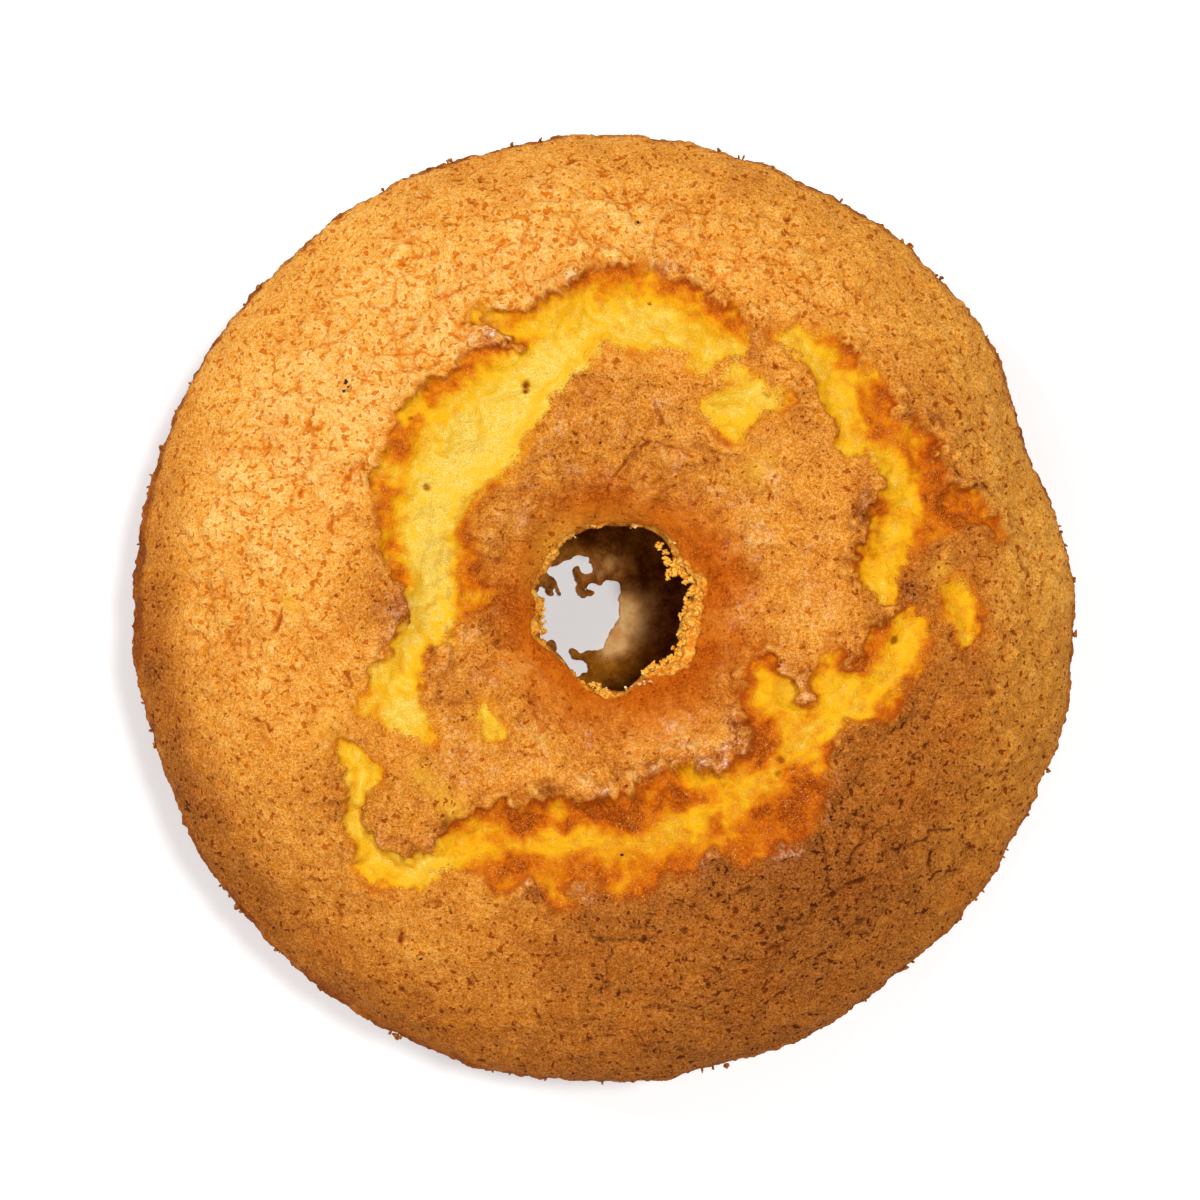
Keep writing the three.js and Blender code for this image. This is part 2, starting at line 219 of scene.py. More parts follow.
# Fine cracks: (width in pixels, strength, bends in picture pixels)
TRACED = [
    (3.0, .8, [(863, 823), (861, 843), (853, 852), (848, 859), (845, 865)]),
    (3.6, 1., [(828, 897), (837, 891), (846, 885), (853, 882), (859, 878), (868, 875), (878, 874)]),
    (2.4, 1., [(879, 855), (888, 851), (897, 848), (908, 845)]),
    (1.4, .7, [(908, 845), (924, 841), (930, 833), (940, 829), (949, 830)]),
    (1.6, .7, [(938, 846), (932, 850), (931, 858), (929, 864), (931, 871)]),
    (2.0, .9, [(826, 923), (828, 914), (831, 911), (836, 909)]),
    (1.6, .8, [(878, 830), (882, 826), (889, 822), (896, 819)]),
    (2.4, .9, [(843, 915), (846, 913)]), (2.0, .8, [(857, 917), (858, 920)]),
    (2.2, .9, [(862, 937), (868, 935)]), (1.8, .8, [(884, 901), (887, 899)]),
    (1.8, .7, [(969, 845), (971, 850)]), (2.6, .8, [(780, 933), (787, 920), (797, 918), (807, 918)]),
    (1.6, .7, [(807, 918), (817, 906), (827, 895)]), (1.6, .6, [(820, 833), (827, 857), (828, 887)]),
    (1.6, .7, [(733, 897), (743, 891), (753, 887)]), (1.8, .7, [(767, 950), (780, 945)]),
    (1.8, .7, [(901, 767), (912, 758), (921, 750), (928, 742)]), (1.8, .7, [(935, 707), (938, 693)]),
    (1.6, .6, [(986, 677), (993, 693)]), (2.6, .8, [(756, 911), (759, 909)]), (2.4, .8, [(737, 936), (738, 939)]),
    (2.4, .7, [(780, 890), (782, 891)]), (2.6, .7, [(1021, 563), (1025, 570), (1028, 577)]),
    (2.2, .6, [(1041, 696), (1042, 699)]), (2.0, .6, [(640, 981), (642, 983)]), (2.6, .8, [(583, 1041), (590, 1038)]),
    (2.2, .7, [(539, 1017), (540, 1023)]), (1.8, .7, [(593, 1018), (599, 1018)]), (2.0, .7, [(678, 1052), (684, 1048)]),
    (1.4, .6, [(611, 950), (608, 967), (606, 983)]), (1.6, .6, [(600, 988), (608, 987)]), (1.6, .6, [(622, 994), (630, 992)]),
    (2.2, .6, [(591, 936), (601, 940), (621, 941), (640, 941), (661, 936)]), (4.0, .6, [(632, 926), (638, 927)]),
    (2.4, .8, [(624, 940), (627, 940)]), (4.2, .5, [(680, 932), (687, 931)]), (2.2, .8, [(707, 983), (709, 984)]),
    (2.2, .7, [(555, 941), (556, 936)]), (2.6, .9, [(400, 947), (401, 936), (407, 933)]), (2.0, .6, [(319, 951), (322, 953)]),
    (3.0, .6, [(381, 983), (385, 983)]), (2.6, .7, [(402, 990), (405, 992)]), (3.0, .7, [(470, 985), (474, 981)]),
    (1.8, .6, [(443, 984), (452, 981)]),
    (1.6, .8, [(566, 162), (577, 161), (587, 162)]), (1.4, .7, [(592, 165), (602, 167), (611, 170)]),
    (3.0, .7, [(469, 200), (476, 201)]), (2.4, .7, [(481, 180), (484, 181)]), (2.2, .6, [(525, 173), (530, 174)]),
    (3.0, .6, [(548, 188), (552, 188)]), (2.2, .7, [(554, 180), (557, 181)]), (1.5, .9, [(440, 222), (450, 222), (459, 223)]),
    (3.0, .5, [(428, 243), (431, 244)]), (2.8, .6, [(508, 243), (515, 243)]), (2.6, .7, [(570, 246), (574, 244)]),
    (1.4, .8, [(438, 298), (450, 295), (462, 289), (473, 284)]), (1.8, .5, [(660, 225), (653, 240), (652, 253)]),
    (3.0, .6, [(662, 219), (667, 217)]), (2.2, .9, [(775, 227), (782, 228), (788, 231)]), (1.8, .7, [(787, 216), (790, 220)]),
    (2.8, .8, [(841, 259), (841, 266)]), (2.4, .9, [(887, 255), (889, 260)]),
    (3.6, .9, [(777, 281), (784, 282)]), (2.6, .6, [(766, 272), (775, 278), (790, 288), (801, 297), (818, 307)]),
    (3.0, .9, [(764, 299), (766, 303)]), (2.6, .8, [(709, 266), (711, 267)]), (2.4, .8, [(756, 327), (757, 329)]),
    (3.2, .9, [(775, 365), (777, 366)]), (1.6, .6, [(851, 328), (855, 340)]), (2.6, .6, [(897, 353), (896, 358)]),
    (3.4, .6, [(929, 342), (935, 342)]), (3.0, .6, [(939, 371), (945, 369)]),
    (2.0, .7, [(595, 413), (593, 424)]), (2.6, .8, [(574, 432), (576, 433)]), (2.6, .8, [(567, 460), (569, 461)]),
    (1.8, .7, [(648, 440), (640, 450), (623, 463), (612, 480), (607, 492)]),
    (1.8, .5, [(655, 403), (659, 414), (663, 425), (668, 427)]), (1.6, .6, [(657, 442), (668, 446), (680, 450), (693, 457)]),
    (2.8, .9, [(705, 459), (709, 460)]), (2.0, .7, [(706, 438), (708, 442)]), (1.5, .8, [(768, 483), (769, 494), (770, 504)]),
    (2.4, .8, [(717, 492), (719, 497)]), (2.4, .7, [(784, 466), (786, 468)]), (2.2, .7, [(776, 484), (779, 487)]),
    (2.8, .8, [(822, 496), (824, 498)]), (2.4, .8, [(832, 516), (834, 518)]), (2.4, .7, [(846, 489), (848, 491)]),
    (1.8, .8, [(514, 752), (525, 755), (535, 755), (543, 757), (547, 763)]), (1.8, .6, [(495, 642), (502, 639), (508, 638)]),
    (1.8, .6, [(535, 650), (534, 658)]), (2.4, .7, [(625, 732), (627, 734)]), (1.6, .6, [(690, 738), (688, 747)]),
    (2.0, .8, [(319, 400), (313, 411), (311, 424), (314, 436)]), (3.4, .9, [(313, 444), (316, 449)]),
    (2.4, .9, [(315, 449), (311, 458), (309, 468), (304, 477)]), (1.6, .6, [(304, 477), (292, 476), (280, 476), (270, 477)]),
    (2.4, .7, [(288, 418), (285, 423)]), (3.0, .8, [(329, 449), (337, 450)]), (2.0, .9, [(302, 489), (302, 495)]),
    (2.0, .6, [(276, 448), (273, 455)]), (2.0, .7, [(368, 470), (360, 466), (352, 467), (350, 476), (341, 484), (344, 489)]),
    (2.4, .6, [(333, 519), (329, 528)]), (1.8, .5, [(348, 494), (351, 505), (347, 514), (334, 520)]),
    (1.8, .5, [(317, 345), (332, 342), (340, 350), (343, 363)]),
    (2.0, .7, [(323, 560), (318, 577), (308, 590), (300, 602)]), (2.6, .7, [(283, 611), (279, 618), (278, 627), (271, 636)]),
    (1.8, .6, [(248, 640), (248, 658)]), (2.0, .8, [(240, 713), (251, 720), (265, 720), (270, 731)]),
    (2.2, .7, [(345, 670), (350, 683), (348, 697)]), (2.4, .8, [(235, 757), (237, 760)]), (3.0, .6, [(356, 552), (360, 554)]),
    (3.0, .6, [(374, 546), (377, 549)]), (3.2, .5, [(300, 552), (304, 554)]), (2.4, .7, [(180, 492), (182, 494)]),
    (1.6, .6, [(420, 905), (432, 902), (446, 905), (452, 912)]), (1.6, .6, [(300, 880), (312, 876), (322, 880)]),
    (1.8, .6, [(255, 800), (268, 796), (275, 802)]), (1.6, .6, [(330, 905), (342, 915), (352, 913)]),
    (1.6, .6, [(480, 960), (492, 955), (505, 958)]), (1.8, .6, [(645, 1010), (655, 1006), (668, 1008)])]
# Browner (+) and paler (-) crust:
BROWNING = [
    (560, 455, 60, .05), (610, 470, 50, .06), (700, 470, 60, .0), (800, 560, 60, -.06),
    (700, 740, 60, -.14), (560, 770, 60, -.08), (420, 800, 50, .04), (800, 390, 40, .05),
    (505, 600, 34, .30), (440, 690, 30, .12), (470, 700, 30, .06), (905, 590, 30, .15),
    (975, 560, 30, .15), (960, 660, 40, .10), (920, 405, 36, .10), (330, 780, 40, .20),
    (395, 605, 22, .30), (868, 505, 16, .45), (615, 930, 60, .13), (895, 705, 16, .12), (695, 905, 22, .08),
    (945, 480, 12, .14), (922, 455, 12, .16), (910, 590, 14, .22), (932, 550, 12, .12), (976, 520, 14, .10),
    (1000, 545, 14, .06), (872, 622, 14, .16), (992, 602, 14, .10), (545, 800, 14, .30), (600, 798, 12, .14),
    (700, 862, 20, .16), (720, 330, 16, .22), (740, 345, 16, .22), (690, 290, 14, .22), (640, 262, 12, .15),
    (760, 690, 14, .12), (812, 440, 20, .12), (800, 420, 16, .12), (640, 380, 26, .12), (590, 385, 18, .12), (560, 960, 70, .14), (725, 858, 14, .25), (545, 892, 12, .3), (800, 846, 16, .25),
    (446, 838, 14, .25), (410, 860, 16, .2), (375, 828, 14, .14), (330, 900, 60, .08), (430, 1000, 60, .06),
    (1040, 560, 50, -.16), (450, 200, 70, .17), (290, 285, 60, .18), (700, 200, 70, .10), (420, 800, 40, .08),
    (600, 175, 60, .06), (200, 420, 40, .06), (150, 600, 24, .12), (150, 660, 24, .16),
    (900, 800, 60, -.05), (395, 340, 40, .05), (350, 600, 30, .12), (755, 330, 30, .18), (580, 270, 22, .20)]
# Crust so thin that the yellow shows through:
THIN = [
    (487, 722, 15, .5), (288, 600, 11, .75), (422, 772, 13, .65), (438, 792, 11, .5), (452, 808, 11, .7), (757, 466, 18, .65),
    (835, 335, 16, .3), (550, 545, 20, .35), (330, 735, 20, .35), (945, 572, 12, .5)]
# Width of torn crumb round the hole: (direction deg, spread deg, mm)
TORN = [(20, 22, 2.8), (322, 24, 3.2), (352, 20, 2.6), (263, 18, 1.5),
        (190, 18, 1.9), (132, 26, 1.1), (88, 22, 0.5)]
TORN_MIN = 0.35
# browning of the outer crust by direction, and its extra at the rim
BROWN_AT = (0.442, [(1, 0.407, 309), (2, 0.048, 293), (3, 0.070, 202), (4, 0.046, 129)])
BROWN_RIM = (0.175, [(1, 0.229, 184), (2, 0.107, 89), (3, 0.042, 233), (4, 0.056, 354)])


# ------------------------------------------------------------------ tools
def smooth(a, b, x):
    t = np.clip((x - a) / (b - a), 0, 1)
    return t * t * (3 - 2 * t)


def wobble(terms, th):
    out = np.zeros_like(th)
    for n, amp, ph in terms:
        out = out + amp * np.cos(n * th - math.radians(ph))
    return out


_rng = np.random.RandomState(20)
_PERM = np.tile(_rng.permutation(256), 2).astype(np.int32)
_GRAD = _rng.normal(size=(256, 3)).astype(f32)
_GRAD /= np.linalg.norm(_GRAD, axis=1, keepdims=True)
_RAND = _rng.rand(256, 4).astype(f32)


def _hash(ix, iy, iz):
    return _PERM[(_PERM[(_PERM[ix & 255] + iy) & 255] + iz) & 255]


def perlin(p, size, seed=0):
    """Smooth noise of that wavelength, about -1 to 1."""
    q = (p / size + np.array([seed * 17.31, seed * 7.77, seed * 3.13])).astype(f32)
    i = np.floor(q).astype(np.int32)
    f = q - i
    u = f * f * f * (f * (f * 6 - 15) + 10)
    out = np.zeros(len(p), f32)
    for dx in (0, 1):
        wx = u[:, 0] if dx else 1 - u[:, 0]
        for dy in (0, 1):
            wy = u[:, 1] if dy else 1 - u[:, 1]
            for dz in (0, 1):
                wz = u[:, 2] if dz else 1 - u[:, 2]
                g = _GRAD[_hash(i[:, 0] + dx, i[:, 1] + dy, i[:, 2] + dz)]
                dot = (g[:, 0] * (f[:, 0] - dx) + g[:, 1] * (f[:, 1] - dy)
                       + g[:, 2] * (f[:, 2] - dz))
                out += wx * wy * wz * dot
    return out * 1.6


def fbm(p, size, octaves, gain=0.5, seed=0):
    out, amp, total = np.zeros(len(p), f32), 1.0, 0.0
    for k in range(octaves):
        out += amp * perlin(p, size / 2 ** k, seed + 31 * k)
        total += amp
        amp *= gain
    return out / total


def cells(p, size, seed=0):
    """Distances in mm to the nearest and second nearest of scattered seeds, and four random numbers of the nearest."""
    q = (p / size + np.array([seed * 5.37, seed * 11.9, seed * 2.71])).astype(f32)
    i = np.floor(q).astype(np.int32)
    f = q - i
    best = np.full(len(p), 9.0, f32)
    second = np.full(len(p), 9.0, f32)
    who = np.zeros(len(p), np.int32)
    for dx in (-1, 0, 1):
        for dy in (-1, 0, 1):
            for dz in (-1, 0, 1):
                h = _hash(i[:, 0] + dx, i[:, 1] + dy, i[:, 2] + dz)
                r = _RAND[h]
                d = np.sqrt((dx + r[:, 0] - f[:, 0]) ** 2 + (dy + r[:, 1] - f[:, 1]) ** 2
                            + (dz + r[:, 2] - f[:, 2]) ** 2)
                near = d < best
                second = np.where(near, best, np.minimum(second, d))
                who = np.where(near, h, who)
                best = np.where(near, d, best)
    return best * size, second * size, _RAND[(who * 7 + 13) & 255]


def warp(p, size, amount, seed):
    return p + amount * np.stack(
        [perlin(p, size, seed), perlin(p, size, seed + 1), perlin(p, size, seed + 2)], 1)


def curve_through(pts, steps=5):
    p1 = np.array(pts, float)
    p0, p2, p3 = np.roll(p1, 1, 0), np.roll(p1, -1, 0), np.roll(p1, -2, 0)
    out = []
    for k in range(steps):
        t = k / steps
        out.append(0.5 * (2 * p1 + (p2 - p0) * t + (2 * p0 - 5 * p1 + 4 * p2 - p3) * t * t
                          + (3 * p1 - p0 - 3 * p2 + p3) * t ** 3))
    return np.stack(out, 1).reshape(-1, 2)


def signed_distance(poly, x, y):
    """Distance in mm to a closed outline, above 0 inside it."""
    a, b = poly, np.roll(poly, -1, 0)
    e = b - a
    ee = (e ** 2).sum(1) + 1e-12
    out = np.empty(len(x))
    for s in range(0, len(x), 4096):
        px, py = x[s:s + 4096, None], y[s:s + 4096, None]
        wx, wy = px - a[:, 0], py - a[:, 1]
        t = np.clip((wx * e[:, 0] + wy * e[:, 1]) / ee, 0, 1)
        d = np.sqrt(((wx - t * e[:, 0]) ** 2 + (wy - t * e[:, 1]) ** 2).min(1))
        cross = (a[:, 1] > py) != (b[:, 1] > py)
        at = e[:, 0] * (py - a[:, 1]) / np.where(np.abs(e[:, 1]) < 1e-12, 1e-12, e[:, 1]) + a[:, 0]
        inside = (cross & (px < at)).sum(1) % 2 == 1
        out[s:s + 4096] = np.where(inside, d, -d)
    return out


def patches(items, x, y):
    out = np.zeros(len(x), f32)
    for px, py, r, s in items:
        cx, cy = to_mm(px, py)
        out += s * np.exp(-((x - cx) ** 2 + (y - cy) ** 2) / (r * PX) ** 2)
    return out


def new_mesh(name, verts_mm, loops, starts, totals, smooth_faces=True):
    me = bpy.data.meshes.new(name)
    me.vertices.add(len(verts_mm))
    me.vertices.foreach_set("co", (np.asarray(verts_mm) * 0.001).astype(f32).ravel())
    me.loops.add(len(loops))
    me.loops.foreach_set("vertex_index", np.asarray(loops, np.int32))
    me.polygons.add(len(starts))
    me.polygons.foreach_set("loop_start", np.asarray(starts, np.int32))
    me.polygons.foreach_set("loop_total", np.asarray(totals, np.int32))
    me.update(calc_edges=True)
    me.polygons.foreach_set("use_smooth", np.full(len(starts), smooth_faces))
    return me


def attribute(me, name, values):
    a = me.attributes.new(name, "FLOAT", "POINT")
    a.data.foreach_set("value", np.asarray(values, f32))


# ------------------------------------------------------- the plain form
def side_radius(th, z):
    up = np.minimum(1, z / WIDEST_Z)
    return BASE_R + (OUTLINE_R - BASE_R) * up + wobble(OUTLINE, th) * up * up


def dome(r, r_out, r_in):
    out = CREST_Z - (CREST_Z - RIM_Z) * np.clip((r - CREST_R) / (r_out - CREST_R), 0, 2) ** 2.3
    inn = CREST_Z - (CREST_Z - HOLE_EDGE_Z) * np.clip((CREST_R - r) / (CREST_R - r_in), 0, 2) ** 2.1
    return np.where(r >= CREST_R, out, inn)


def swell(x, y):
    s = 0
    for length, way, ph, h in SWELLS:
        w = math.radians(way)
        s = s + h * np.cos(2 * math.pi * (x * math.cos(w) + y * math.sin(w)) / length - math.radians(ph))
    return s


def bezier(p0, p1, p2, p3, t):
    return ((1 - t) ** 3 * p0 + 3 * (1 - t) ** 2 * t * p1 + 3 * (1 - t) * t * t * p2 + t ** 3 * p3)


def spread(r, th):
    """From a radius and direction to x, y: the hole is a little off the middle."""
    k = 1 - smooth(25.0, 95.0, r)
    return HOLE_X * k + r * np.cos(th), HOLE_Y * k + r * np.sin(th)


def top_z(r, th):
    r_out = OUTLINE_R + wobble(OUTLINE, th)
    r_in = HOLE_R + wobble(HOLE, th)
    x, y = spread(r, th)
    fade = smooth(r_out, r_out - 12, r) * smooth(r_in, r_in + 10, r)
    return dome(r, r_out, r_in) + fade * swell(x, y)


TOP, RIM, SIDE, BASE, WALL, BRIM = range(6)


def section_rings():
    """The plain form as rings from the hole's edge over the dome, down the side and back up the hole: [(columns, zone, r, z)]."""
    rings = []

    def add(n, zone, fn):
        th = np.arange(n) * 2 * math.pi / n
        r, z = fn(th)
        rings.append((n, zone, th, r * np.ones(n), z * np.ones(n)))

    k = 1

    def r_in(th):
        return HOLE_R + wobble(HOLE, th)

    def r_out(th):
        return OUTLINE_R + wobble(OUTLINE, th)

    def brim(th):
        return r_in(th) + 7.0

    def rr(th):
        return r_out(th) - RIM_ROUND

    split = 64.0
    n_in = 86 // k
    for j in range(n_in):                       # dome, hole side
        t = j / n_in
        add(N2, TOP, lambda th, t=t: (brim(th) + (split - brim(th)) * t,
                                      top_z(brim(th) + (split - brim(th)) * t, th)))
    n_out = 116 // k
    for j in range(n_out + 1):                  # dome, outer part
        t = j / n_out
        add(N1, TOP, lambda th, t=t: (split + (rr(th) - split) * t,
                                      top_z(split + (rr(th) - split) * t, th)))

    def rim(th, t):
        r0 = rr(th)
        z0 = top_z(r0, th)
        slope = (top_z(r0 + 0.05, th) - top_z(r0 - 0.05, th)) / 0.1
        r = bezier(r0, r0 + 2.6, r_out(th), r_out(th), t)
        z = bezier(z0, z0 + 2.6 * slope, WIDEST_Z + 2.2, WIDEST_Z + 0 * th, t)
        return r, z

    n_rim = 14 // k
    for j in range(1, n_rim + 1):
        add(N1, RIM, lambda th, t=j / n_rim: rim(th, t))
    n_side = 66 // k
    for j in range(1, n_side + 1):              # side
        t = j / n_side
        z = WIDEST_Z + (BASE_CORNER - WIDEST_Z) * t
        add(N1 if j < 10 // k else N2, SIDE, lambda th, z=z: (side_radius(th, z), z))
    n_c = 16 // k
    for j in range(1, n_c + 1):                 # corner
        t = j / n_c

        def corner(th, t=t):
            b = side_radius(th, 0)
            s = side_radius(th, BASE_CORNER)
            return (bezier(s, b + 0.2, b - 4.2, b - BASE_CORNER, t),
                    bezier(BASE_CORNER, 3.2, 0.0, 0.0, t))
        add(N2, BASE, corner)
    n_b = 44 // k
    hb = HOLE_BASE_R
    for j in range(1, n_b + 1):                 # flat base
        t = j / n_b
        add(N2 if j < 3 else N3, BASE, lambda th, t=t: (
            (side_radius(th, 0) - BASE_CORNER) * (1 - t) + (hb + HOLE_CORNER) * t, 0.0))
    n_h = 12 // k
    for j in range(1, n_h + 1):                 # corner at the hole
        t = j / n_h
        add(N3, WALL, lambda th, t=t: (bezier(hb + HOLE_CORNER, hb + 3.6, hb, hb - 0.3, t),
                                       bezier(0.0, 0.0, 3.6, HOLE_CORNER, t)))

    def low(th):
        return top_z(brim(th), th) - 9.0

    n_w = 52 // k
    for j in range(1, n_w + 1):                 # wall
        t = j / n_w

        def wall(th, t=t):
            z = HOLE_CORNER + (low(th) - HOLE_CORNER) * t
            r = (hb - 0.3) + (HOLE_R - hb + 0.3) * t + wobble(HOLE, th) * t
            return r, z
        add(N3 if j < n_w - 16 // k else N2, WALL, wall)

    n_m = 30 // k
    for j in range(1, n_m):                     # rounded edge of the hole
        t = j / n_m

        def edge(th, t=t):
            b = brim(th)
            zb = top_z(b, th)
            slope = (top_z(b + 0.05, th) - top_z(b - 0.05, th)) / 0.1
            return (bezier(r_in(th), r_in(th) - 0.2, b - 4.2, b, t),
                    bezier(low(th), low(th) + 5.4, zb - 4.2 * slope, zb, t))
        add(N2, BRIM, edge)
    return rings


def stitch(rings):
    verts, zone, cols = [], [], []
    for n, z_, th, r, z in rings:
        x, y = spread(r, th)
        verts.append(np.stack([x, y, z], 1))
        zone.append(np.full(n, z_))
        cols.append(np.stack([th, r], 1))
    first = np.cumsum([0] + [r[0] for r in rings])
    loops, totals, fzone = [], [], []
    m = len(rings)
    for j in range(m):
        k = (j + 1) % m
        na, nb = rings[j][0], rings[k][0]
        a0, b0 = first[j], first[k]
        zn = rings[k][1] if rings[k][1] in (BASE,) else rings[j][1]
        if na == nb:
            i = np.arange(na)
            i2 = (i + 1) % na
            q = np.stack([a0 + i, b0 + i, b0 + i2, a0 + i2], 1)
            loops.append(q.ravel())
            totals.append(np.full(na, 4))
            fzone.append(np.full(na, zn))
            continue
        n = min(na, nb)
        i = np.arange(n)
        i1 = (i + 1) % n
        if na < nb:                              # this ring is the coarse one
            c, c1 = a0 + i, a0 + i1
            g0, g1, g2 = b0 + 2 * i, b0 + 2 * i + 1, b0 + (2 * i + 2) % nb
            tri = np.concatenate([np.stack([c, g0, g1], 1), np.stack([c, g1, c1], 1),
                                  np.stack([c1, g1, g2], 1)])
        else:
            c, c1 = b0 + i, b0 + i1
            g0, g1, g2 = a0 + 2 * i, a0 + 2 * i + 1, a0 + (2 * i + 2) % na
            tri = np.concatenate([np.stack([g0, c, g1], 1), np.stack([g1, c, c1], 1),
                                  np.stack([g1, c1, g2], 1)])
        loops.append(tri.ravel())
        totals.append(np.full(len(tri), 3))
        fzone.append(np.full(len(tri), zn))
    totals = np.concatenate(totals)
    starts = np.concatenate([[0], np.cumsum(totals)[:-1]])
    return (np.concatenate(verts), np.concatenate(zone), np.concatenate(cols),
            np.concatenate(loops), starts, totals, np.concatenate(fzone))


# ----------------------------------------------------------- the cake
rings = section_rings()
P0, ZONE, COL, LOOPS, STARTS, TOTALS, FZONE = stitch(rings)
cake_me = new_mesh("cake_skin", P0, LOOPS, STARTS, TOTALS)
NRM = np.zeros(len(P0) * 3, f32)
cake_me.vertices.foreach_get("normal", NRM)
NRM = NRM.reshape(-1, 3)
TH, RAD = COL[:, 0], COL[:, 1]
R_OUT = OUTLINE_R + wobble(OUTLINE, TH)
R_IN = HOLE_R + wobble(HOLE, TH)

# where each point shows in the measured outlines
scale = LOOK_UP / (LOOK_UP - (P0[:, 2] - WIDEST_Z))
VX = LOOK_X + (P0[:, 0] - LOOK_X) * scale
VY = LOOK_Y + (P0[:, 1] - LOOK_Y) * scale
is_top = (ZONE == TOP) | (ZONE == RIM) | (ZONE == BRIM)
is_side = (ZONE == SIDE)
is_base = (ZONE == BASE)
is_wall = (ZONE == WALL)

# ragged lips: the outline is looked up a little off each point
p3 = P0.astype(f32)
rag_x = 1.50 * perlin(p3, 6.5, 1) + 1.00 * perlin(p3, 2.8, 2) + 0.50 * perlin(p3, 1.3, 3)
rag_y = 1.50 * perlin(p3, 6.5, 4) + 1.00 * perlin(p3, 2.8, 5) + 0.50 * perlin(p3, 1.3, 6)
STEP = 0.8
gx = np.arange(-112, 112 + STEP, STEP)
GX, GY = np.meshgrid(gx, gx)
grid = np.full(GX.size, -50.0)
for pts in OPENINGS.values():
    mm = np.stack(to_mm(*np.array(pts, float).T), 1)
    grid = np.maximum(grid, signed_distance(curve_through(mm), GX.ravel(), GY.ravel()))
grid = grid.reshape(GX.shape)
low_line, low_tone = np.full(GX.size, 50.0), np.full(GX.size, 0.2)
for half_w, tone, bends in VALLEYS:
    mm = np.stack(to_mm(*np.array(bends, float).T), 1)
    a_, e_ = mm[:-1], mm[1:] - mm[:-1]
    wx, wy = GX.ravel()[:, None] - a_[:, 0], GY.ravel()[:, None] - a_[:, 1]
    t_ = np.clip((wx * e_[:, 0] + wy * e_[:, 1]) / (e_ ** 2).sum(1), 0, 1)
    off_ = np.sqrt(((wx - t_ * e_[:, 0]) ** 2 + (wy - t_ * e_[:, 1]) ** 2).min(1)) - half_w
    low_tone = np.where(off_ < low_line, tone, low_tone)
    low_line = np.minimum(low_line, off_)
low_line, low_tone = low_line.reshape(GX.shape), low_tone.reshape(GX.shape)


def look_up(x, y, grid=grid):
    fx = np.clip((x + 112) / STEP, 0, len(gx) - 1.001)
    fy = np.clip((y + 112) / STEP, 0, len(gx) - 1.001)
    i, j = fx.astype(int), fy.astype(int)
    u, v = fx - i, fy - j
    return ((grid[j, i] * (1 - u) + grid[j, i + 1] * u) * (1 - v)
            + (grid[j + 1, i] * (1 - u) + grid[j + 1, i + 1] * u) * v)


D = np.where(is_top, look_up(VX + rag_x, VY + rag_y), -50.0)     # > 0 on crumb
D_CALM = np.where(is_top, look_up(VX, VY), -50.0)
LIP = np.where(is_top, LIP_STEP + patches(LIPS, VX, VY), 0)
LIP = np.maximum(0.1, LIP * (1 + 0.80 * perlin(p3, 5.5, 7) + 0.50 * perlin(p3, 2.6, 8))) * is_top
strong = np.clip(LIP / 1.2, 0, 1.3)
D = D + np.where(is_top, (0.75 + 0.35 * strong) * (
    1.3 * perlin(p3, 3.4, 9) + 0.9 * perlin(p3, 1.9, 14) + 0.55 * perlin(p3, 1.05, 10)), 0)

# torn crumb round the hole
q_out = RAD - R_IN
ang = np.degrees(TH) % 360
torn_w = np.full(len(P0), TORN_MIN)
for way, wide, mm_ in TORN:
    d_ = np.abs((ang - way + 180) % 360 - 180)
    torn_w = torn_w + mm_ * np.exp(-(d_ / wide) ** 2)
rough_edge = 0.9 * perlin(p3, 4.0, 11) + 0.6 * perlin(p3, 1.7, 12)
near_hole = (ZONE == BRIM) | (ZONE == TOP) | (ZONE == WALL)
q_arc = np.where(ZONE == WALL, -1.0 - 0 * q_out, q_out)
TORN_AMT = np.where(near_hole, smooth(0.5, -0.5, q_arc - torn_w * (1 + 0.35 * rough_edge)), 0)
low_wall = smooth(16.0, 5.0, np.maximum(0, 62.0 - P0[:, 2]) * (1 + 0.3 * perlin(p3, 7.0, 13)))
TORN_AMT = TORN_AMT * np.where(is_wall, low_wall * (torn_w > 1.2), 1)

crust_side = smooth(0.2, -0.6, D)
crumb_side = 1 - crust_side

# ---- relief, along the plain form's normal
H = np.zeros(len(P0), f32)
# lips: a curl outside, a step at the tear, a hollow below it, crumb rising again
run = 0.45 + 0.55 * np.clip(1.3 - LIP, 0, 1)
H += is_top * (0.70 * LIP * np.exp(-((D + 2.0) / 2.2) ** 2)
               - 1.10 * LIP * smooth(-run, run + 0.1, D)
               - (0.8 + 0.40 * LIP) * smooth(0.3, 8.0, D_CALM) * (D_CALM > 0))
inner = smooth(0.5, 4.0, D)
LUMPS = 0.9 * perlin(p3, 6.5, 22) + 0.50 * perlin(p3, 3.2, 23) + 0.14 * perlin(p3, 1.6, 24)
OFF_LOW = look_up(VX + 1.4 * rag_x, VY + 1.4 * rag_y, low_line)    # mm away from the lowest line
LOW = np.exp(-(np.maximum(OFF_LOW, 0) / 2.9) ** 2) * is_top
TONE = look_up(VX + 2.0 * rag_x, VY + 2.0 * rag_y, low_tone)
H -= crumb_side * inner * 0.9 * LOW
H += is_top * inner * 1.60 * perlin(p3, 15, 21)
H += is_top * crumb_side * (0.35 + 0.65 * inner) * (1.25 - 0.45 * LOW) * LUMPS
# pebbly crust edge
PEBBLES = perlin(p3, 3.8, 25) + 0.55 * perlin(p3, 1.9, 19)
H += is_top * crust_side * 0.85 * np.clip(LIP, 0.5, 1.7) * np.exp(-((D + 2.2) / 3.0) ** 2) * PEBBLES
